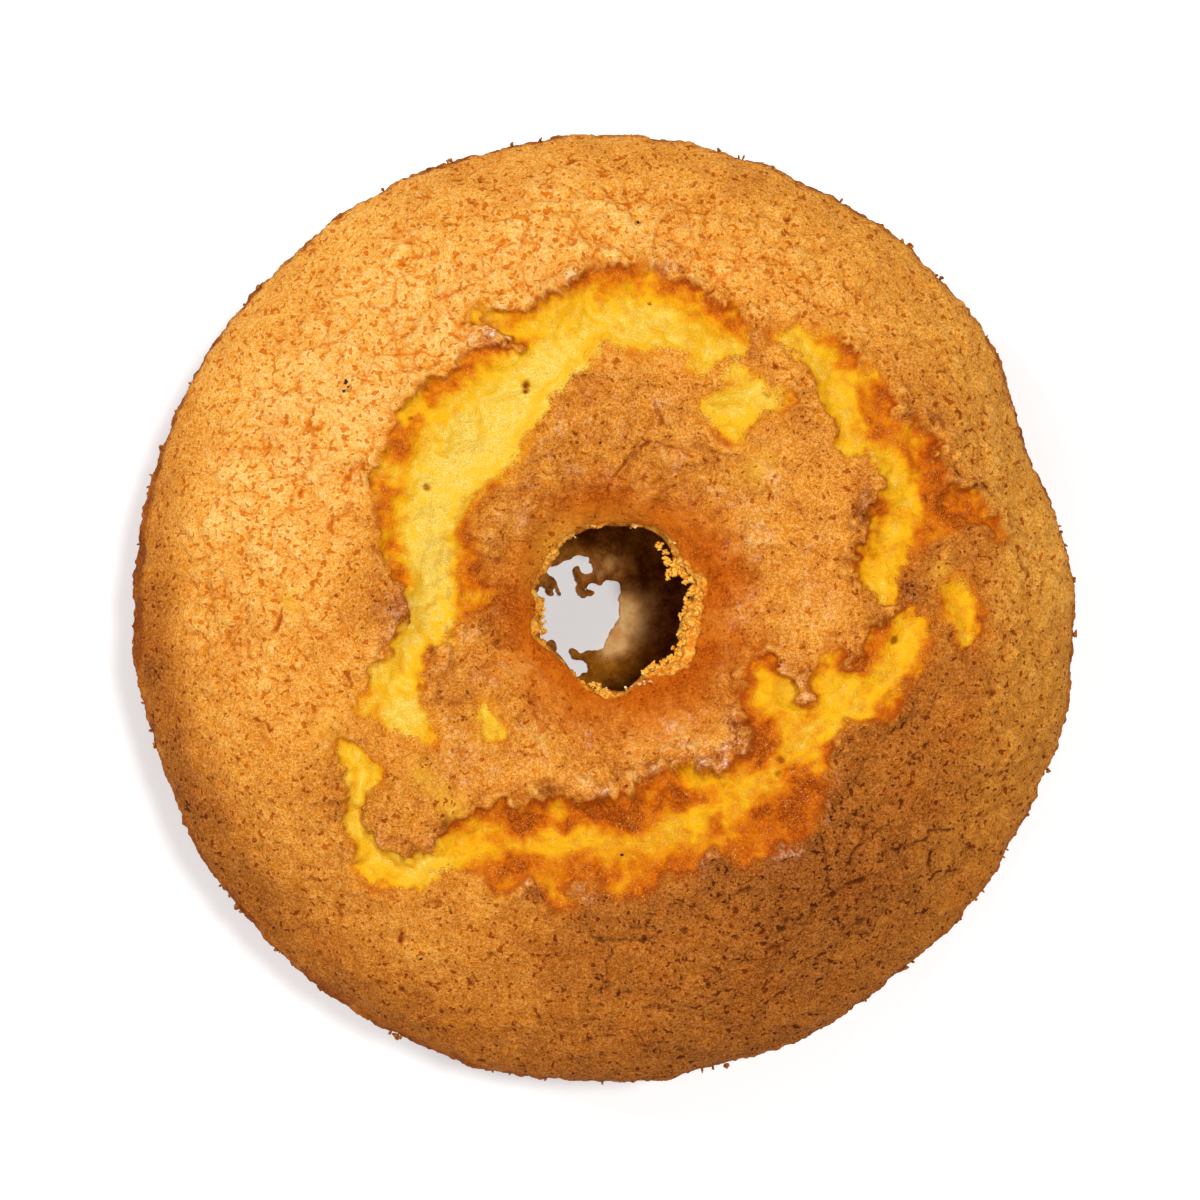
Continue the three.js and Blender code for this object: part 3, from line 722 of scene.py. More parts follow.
# crust: slow dents, grain
H += is_top * crust_side * (0.85 * perlin(p3, 19, 26) + 0.50 * perlin(p3, 8, 27))
GRAIN = fbm(p3, 2.4, 3, 0.62, 28)
bend = warp(p3, 6.0, 0.9, 15)
cob_a, cob_b = perlin(bend, 5.6, 18), perlin(bend, 3.0, 30)
COBBLES = 2.2 * (np.abs(cob_a) + 0.5 * np.abs(cob_b) - 0.35)
patch_a, patch_b = perlin(p3, 10, 39), perlin(p3, 7, 40)
CREVICE = np.maximum(smooth(0.075, 0.010, np.abs(cob_a)) * smooth(-0.12, 0.20, patch_a),
                     0.7 * smooth(0.075, 0.015, np.abs(cob_b)) * smooth(0.0, 0.30, patch_b))
H += is_top * crust_side * 0.40 * GRAIN
H += (is_side | is_base | is_wall) * (0.30 * perlin(p3, 14, 29) + 0.20 * perlin(p3, 5, 38) + 0.14 * GRAIN)

# browning
r_view = np.hypot(VX, VY)
a_view = np.arctan2(VY, VX)
b_out = BROWN_AT[0] + wobble(BROWN_AT[1], a_view)
b_rim = BROWN_RIM[0] + wobble(BROWN_RIM[1], a_view)
b_out = b_out + b_rim * smooth(100, 117, r_view)
B = 0.44 + (b_out - 0.44) * smooth(56, 78, r_view + 3 * perlin(p3, 16, 31))
w_ = warp(p3, 9.0, 2.0, 32)
scale_w = scale
PXW = LOOK_X + (w_[:, 0] - LOOK_X) * scale_w
PYW = LOOK_Y + (w_[:, 1] - LOOK_Y) * scale_w
B = B + patches(BROWNING, PXW, PYW) + 0.06 * perlin(p3, 13, 35) + 0.06 * perlin(p3, 5, 36)

GOLD = smooth(94, 106, r_view) * np.exp(-(((np.degrees(a_view) - 8 + 180) % 360 - 180) / 46) ** 2) * is_top
# pores
wp = warp(p3, 1.7, 0.42, 41)
f1, f2, rnd = cells(wp, 2.25, 1)
PITTY = (0.75 + 0.60 * smooth(0.55, 0.15, b_out)) * smooth(50, 80, r_view) + 0.35 * smooth(80, 50, r_view) + 0.15 * GOLD
want = 0.03 + 0.07 * PITTY + 0.14 * perlin(p3, 10, 44)
size_ = 0.40 + 0.24 * rnd[:, 1] ** 2
PORE = smooth(size_ + 0.12, size_ - 0.16, f1) * (rnd[:, 0] < want)
f1b, f2b, rndb = cells(warp(p3, 3.2, 0.9, 45), 6.5, 2)
big = smooth(0.46 + 0.40 * rndb[:, 1] + 0.08, 0.32 * rndb[:, 1] + 0.12, f1b) * (rndb[:, 0] < 0.12)
PORE = np.maximum(PORE, big)

# fine cracks: long dark ones low on the right, a net of faint ones on the left
lower_right = smooth(0.45, 0.9, b_out) * smooth(66, 78, r_view) * smooth(116, 108, r_view)
e_r = np.stack([np.cos(a_view), np.sin(a_view), 0 * a_view], 1)
along = p3 - 0.45 * e_r * ((p3 * e_r).sum(1, keepdims=True))
ringwise = np.stack([a_view * 92 * 0.42, r_view, 0 * r_view], 1).astype(f32)
wc = warp(ringwise, 4.5, 1.0, 51)
c1 = perlin(wc, 4.6, 52)
m1 = smooth(0.10, 0.30, perlin(ringwise, 6.5, 53))
CR1 = 0.7 * smooth(0.055, 0.015, np.abs(c1)) * smooth(0.22, 0.45, perlin(ringwise, 6.5, 53)) * lower_right
f1c, f2c, rndc = cells(warp(p3, 5.0, 1.2, 55), 7.0, 3)
c2 = f2c - f1c
m2 = smooth(-0.02, 0.25, perlin(p3, 9.0, 56))
left_net = smooth(0.55, 0.2, b_out) * smooth(60, 74, r_view) * smooth(112, 104, r_view)
CR2 = smooth(0.42, 0.10, c2) * m2 * left_net
inner_ring = smooth(64, 54, r_view)
CR3 = smooth(0.36, 0.08, c2) * m2 * smooth(0.1, 0.4, perlin(p3, 12, 57)) * inner_ring
CRACK = np.clip(CR1 + 0.75 * CR2 + 0.7 * CR3, 0, 1)
SEEN = np.zeros(len(P0))
cxv, cyv = VX + 0.9 * perlin(p3, 2.0, 58), VY + 0.9 * perlin(p3, 2.0, 59)
thick = 1 + 1.1 * perlin(p3, 2.4, 60)
for wide, much, bends in TRACED:
    mm = np.stack(to_mm(*np.array(bends, float).T), 1)
    box_lo, box_hi = mm.min(0) - 1.6, mm.max(0) + 1.6
    near = np.flatnonzero(is_top & (cxv > box_lo[0]) & (cxv < box_hi[0]) & (cyv > box_lo[1]) & (cyv < box_hi[1]))
    a_, b_ = mm[:-1], mm[1:]
    e_ = b_ - a_
    wx, wy = cxv[near, None] - a_[:, 0], cyv[near, None] - a_[:, 1]
    t_ = np.clip((wx * e_[:, 0] + wy * e_[:, 1]) / (e_ ** 2).sum(1), 0, 1)
    d_ = np.sqrt(((wx - t_ * e_[:, 0]) ** 2 + (wy - t_ * e_[:, 1]) ** 2).min(1))
    half_w = wide * PX * 0.5 * thick[near]
    SEEN[near] = np.maximum(SEEN[near], min(1, 1.25 * much) * smooth(half_w + 0.34, half_w - 0.12, d_))

on_crust = is_top * crust_side * (1 - TORN_AMT) * smooth(-0.4, -1.4, D)
near_edge_calm = smooth(R_OUT, R_OUT - 4, RAD)
funnel = smooth(2.0, 12.0, q_out)               # smooth crust close to the hole
PORE_TOP = PORE * on_crust * (0.35 + 0.65 * near_edge_calm) * (0.35 + 0.65 * funnel)
CRACK = CRACK * on_crust * near_edge_calm * funnel
SEEN = SEEN * is_top * crust_side * (1 - TORN_AMT) * (0.40 + 0.60 * smooth(-0.25, 0.10, perlin(p3, 1.7, 62)))
LEFT = np.clip(left_net + 0.45 * inner_ring * funnel, 0, 1)
H += on_crust * near_edge_calm * (0.24 + 0.56 * LEFT + 0.40 * GOLD) * (0.3 + 0.7 * funnel) * COBBLES
H -= 0.24 * PORE_TOP + 0.30 * CRACK + 0.40 * SEEN
lip_zone = np.clip(LIP, 0, 1.6) * np.exp(-((D + 1.8) / 2.6) ** 2) * is_top
# paler on the raised cobbles and pebbles, browner in the cobbles' crevices: partly the crust's own tone, partly painted
# highlight on the tops and painted shade in the crevices
B = B - (0.04 + 0.08 * LEFT + 0.08 * GOLD) * COBBLES + 0.12 * CREVICE * LEFT + 0.25 * SEEN + lip_zone * (0.02 - 0.26 * PEBBLES)
# the crust drawn down into the hole is creased along its slope
a_hole = np.arctan2(P0[:, 1] - HOLE_Y, P0[:, 0] - HOLE_X)
crease = np.stack([24 * np.cos(a_hole), 24 * np.sin(a_hole), q_out * 0.24], 1).astype(f32)
WRINKLE = perlin(crease, 2.6, 66) + 0.7 * perlin(crease, 1.3, 67)
drawn = smooth(1.0, 5.0, q_out) * smooth(30, 12, q_out) * is_top * crust_side
H += drawn * 0.40 * WRINKLE
DAPPLE = 0.9 * perlin(p3, 7.5, 33) + 0.7 * perlin(p3, 3.8, 34)
H += inner_ring * funnel * on_crust * 0.45 * DAPPLE
# paler on the crests of the creases and on the inner ring's raised dapples: partly the crust's own tone, partly painted
# highlight
B = B - drawn * 0.16 * WRINKLE - inner_ring * 0.20 * DAPPLE
# tunnels in the crumb: dents whose pockets are painted dark orange brown, painted shade
f1d, f2d, rndd = cells(warp(p3, 2.0, 0.5, 61), 5.2, 4)
tunnel_and_shade = smooth(0.62, 0.30, f1d) * (rndd[:, 0] < 0.10) * smooth(2.0, 4.0, D)
for tx, ty, tr, ts in [(524, 385, 5.5, 1), (525, 392, 4, 1), (427, 490, 4, .8), (722, 784, 3, .6),
                       (782, 758, 5, .7), (780, 775, 4, .7), (897, 640, 5, .8), (768, 393, 5, .5)]:
    cx, cy = to_mm(tx, ty)
    dd = np.hypot(VX + 0.5 * rag_x - cx, VY + 0.5 * rag_y - cy)
    tunnel_and_shade = np.maximum(tunnel_and_shade, ts * smooth(tr * PX * 1.1, tr * PX * 0.45, dd))
tunnel_and_shade = tunnel_and_shade * is_top * smooth(0.3, 1.2, D)
H -= 0.8 * tunnel_and_shade

# side, base and wall: the tin's side, with bubbles and pinholes
pin = smooth(0.34, 0.12, f1) * (rnd[:, 0] < 0.20)
f1e, f2e, rnde = cells(warp(p3, 3.0, 0.6, 63), 9.0, 5)
bubble = smooth(1.5, 0.7, f1e) * (rnde[:, 0] < 0.16)
tin = (is_side | is_base | is_wall).astype(f32)
H -= tin * (0.28 * pin + 0.45 * bubble)
TIN_PORE = tin * np.clip(pin + 0.5 * bubble, 0, 1)

# torn crumb
H += TORN_AMT * (1.5 * perlin(p3, 3.4, 71) + 0.8 * perlin(p3, 1.6, 72) + 0.4 * perlin(p3, 0.9, 73) - 0.7)

# rim: slightly ragged
rim_zone = smooth(R_OUT - 2.5, R_OUT - 0.4, RAD) * (ZONE != BASE) * smooth(38, 46, P0[:, 2])
H += rim_zone * (0.45 * perlin(p3, 6, 81) + 0.50 * perlin(p3, 2.4, 82) + 0.40 * perlin(p3, 1.1, 83) - 0.25)

P = P0 + NRM * H[:, None]
# the base stays flat where it stands
flat = is_base & (P0[:, 2] < 1e-6)
P[flat, 2] = np.maximum(0.0, 0.02 + (P[flat, 2] - P0[flat, 2]))
P[:, 2] = np.maximum(P[:, 2], 0.0)

# masks for the material
EDGE = np.where(is_top, np.clip(D, -8, 8), -8)
w2 = warp(p3, 7.0, 1.4, 91) + warp(p3, 2.6, 0.8, 101) - p3 + warp(p3, 1.3, 0.4, 104) - p3
TX = LOOK_X + (w2[:, 0] - LOOK_X) * scale
TY = LOOK_Y + (w2[:, 1] - LOOK_Y) * scale
dd = np.maximum(D, 0)
vary = 0.50 + 0.9 * perlin(p3, 9.0, 87) + 0.5 * perlin(p3, 4.0, 88)
TOASTED = np.clip(vary, 0.1, 1.3) * (0.54 * np.exp(-dd / 1.1) + 0.34 * np.exp(-dd / 4.0)) + patches(TOAST, TX, TY)

TOASTED = 0.65 * TOASTED * (1 + 0.60 * LUMPS) * (1 - 0.60 * LOW) + 0.08 * LUMPS + TONE \
    + 0.19 * smooth(0.3, 6.5, OFF_LOW) * (1 + 0.9 * perlin(p3, 4.5, 17)) + 0.10 * perlin(p3, 2.6, 107)
# painted shade under the strong lips, together with the crumb's toasting there: a band darkened to orange brown
SHADE_AND_TOAST_UNDER_LIP = is_top * smooth(-0.8, -0.1, D) * smooth(1.9, 0.1, D) * np.clip((LIP - 0.4) / 1.0, 0, 1)
TOASTED = np.clip(TOASTED, 0, 1)
ORANGE = np.clip(smooth(42.0, 23.0, np.hypot(VX - 5.2, VY + 0.3)) + 0.30 * perlin(p3, 11, 96), 0, 1) * is_top
# pinkish brown of the torn lips with painted whitish highlights on their lumps; on the inner ring, beige-pink painted
# highlights on the raised dapples
LIP_TONE_AND_HIGHLIGHT = is_top * np.clip(patches(PINK_AND_HIGHLIGHT_PATCHES, TX, TY), 0, 1.1) * smooth(0.7, -0.3, D) * smooth(-7.0, -2.5, D) \
    * np.clip(0.85 + 1.2 * perlin(p3, 3.0, 93) + 0.5 * PEBBLES, 0, 1)
LIP_TONE_AND_HIGHLIGHT = np.maximum(LIP_TONE_AND_HIGHLIGHT, inner_ring * smooth(6, 16, q_out) * on_crust * np.clip(0.06 + 0.45 * DAPPLE, 0, 0.32))
THIN_C = np.clip(patches(THIN, TX, TY) * (1 + 0.5 * perlin(p3, 3, 97)), 0, 1) * is_top
band = 0.7 + 2.6 * np.exp(-(((np.degrees(a_view) - 182 + 180) % 360 - 180) / 20) ** 2) \
    + 2.8 * np.exp(-(((np.degrees(a_view) - 236 + 180) % 360 - 180) / 20) ** 2)
MOULD = np.clip(smooth(band + 0.6, band - 0.8, (R_OUT - RAD) + 0.9 * perlin(p3, 4, 98) + 0.5 * perlin(p3, 1.5, 99)), 0, 1)
MOULD = np.where(is_side | is_base | is_wall, 1.0, MOULD * is_top)
CRACKS = lower_right * is_top
NET = np.clip(left_net + 0.5 * inner_ring * funnel + 0.4 * GOLD, 0.15, 1) * CREVICE * is_top
PITS = np.clip(np.maximum.reduce([PORE_TOP, CRACK, SEEN, TIN_PORE]), 0, 1)

# into the frame: the plain form's box is centred on the node's box
centre = (np.array(NODE_LO) + np.array(NODE_HI)) * 500
SHIFT = np.array([centre[0] - (P0[:, 0].min() + P0[:, 0].max()) / 2,
                  centre[1] - (P0[:, 1].min() + P0[:, 1].max()) / 2, 0.0])
P = P + SHIFT
lo, hi = np.array(CAD_LO) * 1000, np.array(CAD_HI) * 1000
P = np.clip(P, lo, hi)
cake_me.vertices.foreach_set("co", (P * 0.001).astype(f32).ravel())
cake_me.update()
# painted light: slopes and hollows of the crumb are painted a brighter orange yellow, a glow standing in for light that
# comes through the crumb from the sides
NEW = np.zeros(len(P0) * 3, f32)
cake_me.vertices.foreach_get("normal", NEW)
TILT = 1 - (NEW.reshape(-1, 3) * NRM).sum(1)
PAINTED_GLOW = np.clip(0.35 * np.clip(-1.3 * LUMPS, 0, 1) * (1 - 0.5 * LOW) + 0.70 * smooth(0.005, 0.18, TILT), 0, 0.80)
PAINTED_GLOW = PAINTED_GLOW * is_top * crumb_side * smooth(0.75, 0.35, TOASTED)

GOLD_TONE = np.maximum(GOLD, 0.85 * np.exp(-(((ang - 122 + 180) % 360 - 180) / 52) ** 2) * smooth(8.5, 1.0, q_out) * is_top)
for name, v in (("edge", EDGE), ("lipw", LIP), ("toast", TOASTED), ("brown", B), ("orange", ORANGE),
                ("gold", GOLD_TONE), ("lip", LIP_TONE_AND_HIGHLIGHT), ("thin", THIN_C), ("under", SHADE_AND_TOAST_UNDER_LIP), ("mould", MOULD), ("cracks", CRACKS), ("pitty", PITTY), ("net", NET),
                ("pits", PITS), ("pebble", 0.5 + 0.5 * PEBBLES), ("torn", TORN_AMT), ("tunnel_and_shade", tunnel_and_shade), ("grain", GRAIN), ("hollow", PAINTED_GLOW)):
    attribute(cake_me, name, v)

# one flat map: dome and side as a disc, base and hole wall as small discs in two corners
loop_zone = np.repeat(FZONE, TOTALS)
lr, lth, lz = RAD[LOOPS], TH[LOOPS], P0[LOOPS, 2]
arc = np.where(loop_zone == SIDE, 0.405 + 0.09 * (WIDEST_Z - lz) / WIDEST_Z,
               np.where(loop_zone == RIM, 0.388 + 0.017 * np.clip((lr - (R_OUT[LOOPS] - RIM_ROUND)) / RIM_ROUND, 0, 1)
                        * 0.5 + 0.0085 * smooth(WIDEST_Z + 6, WIDEST_Z, lz),
                        0.388 * lr / (R_OUT[LOOPS] - RIM_ROUND)))
arc = np.where(loop_zone == BRIM, 0.388 * (lr - 0.30 * np.maximum(0, 66 - lz) * smooth(9, 0, lr - R_IN[LOOPS])) / (R_OUT[LOOPS] - RIM_ROUND), arc)
U = 0.5 + arc * np.cos(lth)
V = 0.5 + arc * np.sin(lth)
sb = 0.082 / (BASE_R + 3)
in_base = loop_zone == BASE
U = np.where(in_base, 0.0845 + sb * (lr + 1.2 * lz / BASE_CORNER * 0) * np.cos(lth), U)
V = np.where(in_base, 0.0845 + sb * lr * np.sin(lth), V)
in_wall = loop_zone == WALL
wr = 0.022 + 0.060 * np.clip(1 - lz / 62.0, 0, 1)
U = np.where(in_wall, 0.9155 + wr * np.cos(lth), U)
V = np.where(in_wall, 0.0845 + wr * np.sin(lth), V)
uv = cake_me.uv_layers.new(name="OFBake")
uv.data.foreach_set("uv", np.stack([U, V], 1).astype(f32).ravel())

cake = bpy.data.objects.new("cake_skin", cake_me)
bpy.context.scene.collection.objects.link(cake)


# ------------------------------------------------------------- materials
def rgb(r, g, b, gain=1.0):
    """From a colour as seen in a picture, 0 to 255, to what a shader socket holds."""
    out = []
    for c in (r, g, b):
        c = c / 255
        out.append(min(1.0, gain * (c / 12.92 if c <= 0.04045 else ((c + 0.055) / 1.055) ** 2.4)))
    return (*out, 1.0)


SOFT = 0.79      # the same for the crumb
GAIN = 0.88      # how much of a picture colour is the surface's own


class Nodes:
    def __init__(self, name):
        self.mat = bpy.data.materials.new(name)
        self.mat.use_nodes = True
        self.t = self.mat.node_tree
        self.t.nodes.clear()
        self.out = self.t.nodes.new("ShaderNodeOutputMaterial")
        self.bsdf = self.t.nodes.new("ShaderNodeBsdfPrincipled")
        self.t.links.new(self.bsdf.outputs[0], self.out.inputs[0])

    def link(self, a, b):
        self.t.links.new(a, b)

    def put(self, sock, v):
        if hasattr(v, "is_linked") or isinstance(v, bpy.types.NodeSocket):
            self.link(v, sock)
        elif v is not None:
            sock.default_value = v

    def attr(self, name):
        n = self.t.nodes.new("ShaderNodeAttribute")
        n.attribute_name = name
        return n.outputs["Fac"]

    def coords(self):
        return self.t.nodes.new("ShaderNodeTexCoord").outputs["Object"]

    def noise(self, vec, mm_, detail=2.0, rough=0.5, distortion=0.0):
        n = self.t.nodes.new("ShaderNodeTexNoise")
        self.link(vec, n.inputs["Vector"])
        n.inputs["Scale"].default_value = 1000.0 / mm_
        n.inputs["Detail"].default_value = detail
        n.inputs["Roughness"].default_value = rough
        n.inputs["Distortion"].default_value = distortion
        return n.outputs["Fac"]

    def noise4(self, vec, mm_, across_mm, radius, detail=2.0, rough=0.5, distortion=0.0):
        """Noise whose spots are long round the ring and short across it."""
        n = self.t.nodes.new("ShaderNodeTexNoise")
        n.noise_dimensions = "4D"
        self.link(vec, n.inputs["Vector"])
        self.link(self.math("MULTIPLY", radius, mm_ / across_mm / 1.0), n.inputs["W"])
        n.inputs["Scale"].default_value = 1000.0 / mm_
        n.inputs["Detail"].default_value = detail
        n.inputs["Roughness"].default_value = rough
        n.inputs["Distortion"].default_value = distortion
        return n.outputs["Fac"]

    def radius(self, vec):
        """Distance from the middle of the ring, in metres."""
        sep = self.t.nodes.new("ShaderNodeSeparateXYZ")
        self.link(vec, sep.inputs[0])
        return self.math("SQRT", self.math("ADD", self.math("MULTIPLY", sep.outputs[0], sep.outputs[0]),
                                           self.math("MULTIPLY", sep.outputs[1], sep.outputs[1])))

    def voronoi(self, vec, mm_):
        n = self.t.nodes.new("ShaderNodeTexVoronoi")
        self.link(vec, n.inputs["Vector"])
        n.inputs["Scale"].default_value = 1000.0 / mm_
        return n.outputs["Distance"], n.outputs["Color"]

    def math(self, op, a, b=None, c=None, clamp=False):
        n = self.t.nodes.new("ShaderNodeMath")
        n.operation = op
        n.use_clamp = clamp
        for i, v in enumerate((a, b, c)):
            if v is not None:
                self.put(n.inputs[i], v)
        return n.outputs[0]

    def remap(self, v, a, b, c=0.0, d=1.0):
        n = self.t.nodes.new("ShaderNodeMapRange")
        n.clamp = True
        self.put(n.inputs[0], v)
        for i, x in enumerate((a, b, c, d)):
            n.inputs[i + 1].default_value = x
        return n.outputs[0]

    def mix(self, fac, a, b, kind="MIX"):
        n = self.t.nodes.new("ShaderNodeMix")
        n.data_type = "RGBA"
        n.blend_type = kind
        n.clamp_factor = True
        self.put(n.inputs[0], fac)
        self.put(n.inputs[6], a)
        self.put(n.inputs[7], b)
        return n.outputs[2]

    def ramp(self, fac, stops):
        n = self.t.nodes.new("ShaderNodeValToRGB")
        e = n.color_ramp.elements
        while len(e) < len(stops):
            e.new(0.5)
        for i, (at, col) in enumerate(stops):
            e[i].position = at
            e[i].color = col
        self.put(n.inputs[0], fac)
        return n.outputs[0]

    def bump(self, height, distance_mm, strength=1.0, normal=None):
        n = self.t.nodes.new("ShaderNodeBump")
        n.inputs["Distance"].default_value = distance_mm * 0.001
        n.inputs["Strength"].default_value = strength
        self.link(height, n.inputs["Height"])
        if normal is not None:
            self.link(normal, n.inputs["Normal"])
        return n.outputs[0]


def cake_material():
    m = Nodes("cake_crust_and_crumb")
    co = m.coords()
    mul, add, sub = (lambda a, b: m.math("MULTIPLY", a, b)), (lambda a, b: m.math("ADD", a, b)), (lambda a, b: m.math("SUBTRACT", a, b))
    fine = m.noise(co, 0.80, 3.0, 0.70)             # the grain that shows close up
    finer = m.noise(co, 0.40, 2.0, 0.65)
    mid = m.noise(co, 2.4, 3.0, 0.60)
    patchy = m.noise(co, 8.0, 3.0, 0.55)
    grain = add(mul(fine, 0.62), mul(finer, 0.38))

    # pits: bent, uneven pores, in loose groups
    crowd = m.noise(co, 6.0, 1.0, 0.5)
    spots = m.noise(co, 1.50, 1.0, 0.5)
    cut = sub(sub(0.770, mul(m.attr("pitty"), 0.050)), mul(crowd, 0.13))
    pit = m.math("MULTIPLY_ADD", sub(spots, cut), 26.0, 0.5, clamp=True)
    streaks = m.noise4(co, 1.9, 1.2, m.radius(co), 1.0, 0.5)
    streak = mul(m.math("MULTIPLY_ADD", sub(streaks, add(cut, 0.010)), 30.0, 0.5, clamp=True), m.attr("cracks"))
    on_crust = m.remap(m.attr("edge"), -0.8, -1.6)
    deep = mul(m.math("MAXIMUM", pit, streak), on_crust)
    deep = m.math("MAXIMUM", deep, m.attr("pits"))

    brown = add(m.attr("brown"), mul(sub(patchy, 0.5), 0.30))
    brown = add(brown, mul(sub(mid, 0.5), 0.46))
    crust = m.ramp(brown, [
        (0.00, rgb(252, 194, 90, GAIN)), (0.18, rgb(246, 174, 60, GAIN)),
        (0.38, rgb(232, 150, 42, GAIN)), (0.58, rgb(210, 126, 30, GAIN)),
        (0.78, rgb(180, 102, 24, GAIN)), (1.00, rgb(152, 82, 20, GAIN))])
    crust_low = m.ramp(brown, [
        (0.00, rgb(240, 138, 18, GAIN)), (0.30, rgb(218, 112, 12, GAIN)),
        (0.60, rgb(170, 80, 8, GAIN)), (1.00, rgb(104, 42, 5, GAIN))])
    crust_pit = m.ramp(brown, [
        (0.00, rgb(234, 126, 22, GAIN)), (0.30, rgb(214, 104, 12, GAIN)),
        (0.60, rgb(150, 60, 6, GAIN)), (1.00, rgb(72, 24, 4, GAIN))])
    high = m.ramp(brown, [
        (0.00, rgb(255, 222, 164, GAIN)), (0.40, rgb(248, 190, 108, GAIN)),
        (0.75, rgb(214, 142, 72, GAIN)), (1.00, rgb(186, 118, 60, GAIN))])
    # near the hole and at the right rim
    warm = m.ramp(brown, [(0.2, rgb(210, 100, 4, GAIN)), (0.6, rgb(178, 72, 3, GAIN)),
                          (0.95, rgb(134, 48, 2, GAIN))])
    crust = m.mix(mul(m.attr("orange"), 0.95), crust, warm)
    high = m.mix(mul(m.attr("orange"), 0.92), high, rgb(222, 118, 12, GAIN))
    crust = m.mix(mul(m.attr("gold"), 0.80), crust,
                  m.ramp(brown, [(0.3, rgb(222, 158, 52, GAIN)), (0.7, rgb(202, 136, 40, GAIN)),
                                 (1.0, rgb(176, 112, 34, GAIN))]))
    # the grain's raised tops are paler and its low spots deeper orange: partly the crust's own grain, partly painted
    # highlight and painted shade
    crust = m.mix(m.remap(grain, 0.49, 0.61, 0.0, 0.70), crust, high)
    crust = m.mix(m.remap(grain, 0.50, 0.40, 0.0, 0.60), crust, crust_low)
    # crevices between the cobbles take the deeper orange brown: partly their own colour, partly painted shade
    crust = m.mix(mul(m.attr("net"), 0.75), crust, crust_low)
    # torn edge of the crust: pinkish brown, with a painted whitish highlight on the tops of its pebbly lumps and
    # painted shade, dark brown, between them
    lip_col_and_highlight = m.ramp(add(m.remap(add(mul(fine, 0.5), mul(mid, 0.5)), 0.38, 0.62, -0.20, 0.60), mul(m.attr("pebble"), 0.60)), [
        (0.10, rgb(118, 48, 12, GAIN)), (0.38, rgb(180, 92, 36, GAIN)),
        (0.64, rgb(216, 140, 88, GAIN)), (0.95, rgb(250, 216, 194, GAIN))])
    crust = m.mix(mul(m.attr("lip"), 0.85), crust, lip_col_and_highlight)
    crust = m.mix(mul(m.attr("thin"), 0.85), crust,
                  m.mix(fine, rgb(232, 156, 24, GAIN), rgb(248, 200, 64, GAIN)))
    crust = m.mix(mul(deep, 0.92), crust, m.mix(mul(m.attr("orange"), 0.7), crust_pit, rgb(168, 66, 2, GAIN)))
    # the crust that lay against the tin
    broad = m.noise(co, 26.0, 2.0, 0.55)
    mould = m.ramp(add(add(mul(patchy, 0.40), mul(mid, 0.28)), mul(broad, 0.32)), [
        (0.34, rgb(112, 48, 8, GAIN)), (0.47, rgb(150, 72, 14, GAIN)), (0.56, rgb(184, 100, 26, GAIN)),
        (0.66, rgb(214, 138, 50, GAIN))])
    mould = m.mix(m.remap(grain, 0.48, 0.38, 0.0, 0.55), mould, rgb(92, 40, 10, GAIN))
    mould = m.mix(m.remap(grain, 0.54, 0.66, 0.0, 0.50), mould, rgb(206, 134, 66, GAIN))
    mould = m.mix(mul(m.attr("pits"), 0.7), mould, rgb(80, 34, 10, GAIN))
    crust = m.mix(m.attr("mould"), crust, mould)

    # crumb
    toast = add(m.attr("toast"), mul(sub(mid, 0.5), 0.55))
    toast = add(toast, mul(sub(grain, 0.5), 0.95))
    crumb = m.ramp(toast, [
        (0.00, rgb(255, 219, 92, SOFT)), (0.12, rgb(253, 207, 62, SOFT)),
        (0.26, rgb(247, 182, 30, SOFT)), (0.44, rgb(240, 150, 8, SOFT)),
        (0.66, rgb(226, 116, 2, SOFT)), (0.86, rgb(200, 88, 4, SOFT)), (1.00, rgb(158, 60, 6, SOFT))])
    # painted glints: whitish yellow specks on the crumb, warmer where it is toasted, and rarer near-white ones, in
    # place of its shine
    painted_glint = m.remap(finer, 0.55, 0.64)
    crumb = m.mix(mul(painted_glint, 0.60), crumb, m.mix(m.remap(toast, 0.25, 0.60), rgb(255, 234, 138, SOFT), rgb(246, 160, 44, SOFT)))
    crumb = m.mix(mul(m.remap(finer, 0.635, 0.68), m.remap(toast, 0.15, 0.50, 0.85, 0.25)), crumb, rgb(255, 248, 205, GAIN))
    # low spots of the crumb's grain take a deeper orange: partly its own mottling, partly painted warm shade
    crumb = m.mix(m.remap(grain, 0.48, 0.38, 0.0, 0.50), crumb, rgb(236, 140, 4, SOFT))
    # painted glow on the crumb's slopes and hollows: a brighter orange yellow in place of light shining through the
    # crumb
    crumb = m.mix(m.attr("hollow"), crumb, rgb(254, 192, 20, GAIN))
    # painted shade in the tunnels' pockets: dark orange brown
    crumb = m.mix(m.attr("tunnel_and_shade"), crumb, rgb(140, 62, 0, SOFT))

    # where the crust has thinned out the colours run into each other
    half = m.remap(m.attr("lipw"), 0.6, 1.5, 1.1, 0.20)
    jag = mul(sub(grain, 0.5), add(mul(half, 3.0), 2.6))
    edge = add(add(m.attr("edge"), jag), mul(sub(mid, 0.5), 3.0))
    crumb_here = m.math("ADD", m.math("DIVIDE", edge, mul(half, 2.0)), 0.5, clamp=True)
    fringe = mul(m.remap(edge, -2.6, -0.2, 0.0, 0.70), m.remap(m.attr("lipw"), 0.5, 1.2, 1.0, 0.0))
    fringe_lo = m.ramp(brown, [(0.25, rgb(206, 98, 8, GAIN)), (0.85, rgb(136, 54, 6, GAIN))])
    fringe_hi = m.ramp(brown, [(0.25, rgb(240, 158, 40, GAIN)), (0.85, rgb(196, 104, 24, GAIN))])
    crust = m.mix(fringe, crust, m.mix(m.remap(grain, 0.42, 0.58), fringe_lo, fringe_hi))
    col = m.mix(crumb_here, crust, crumb)
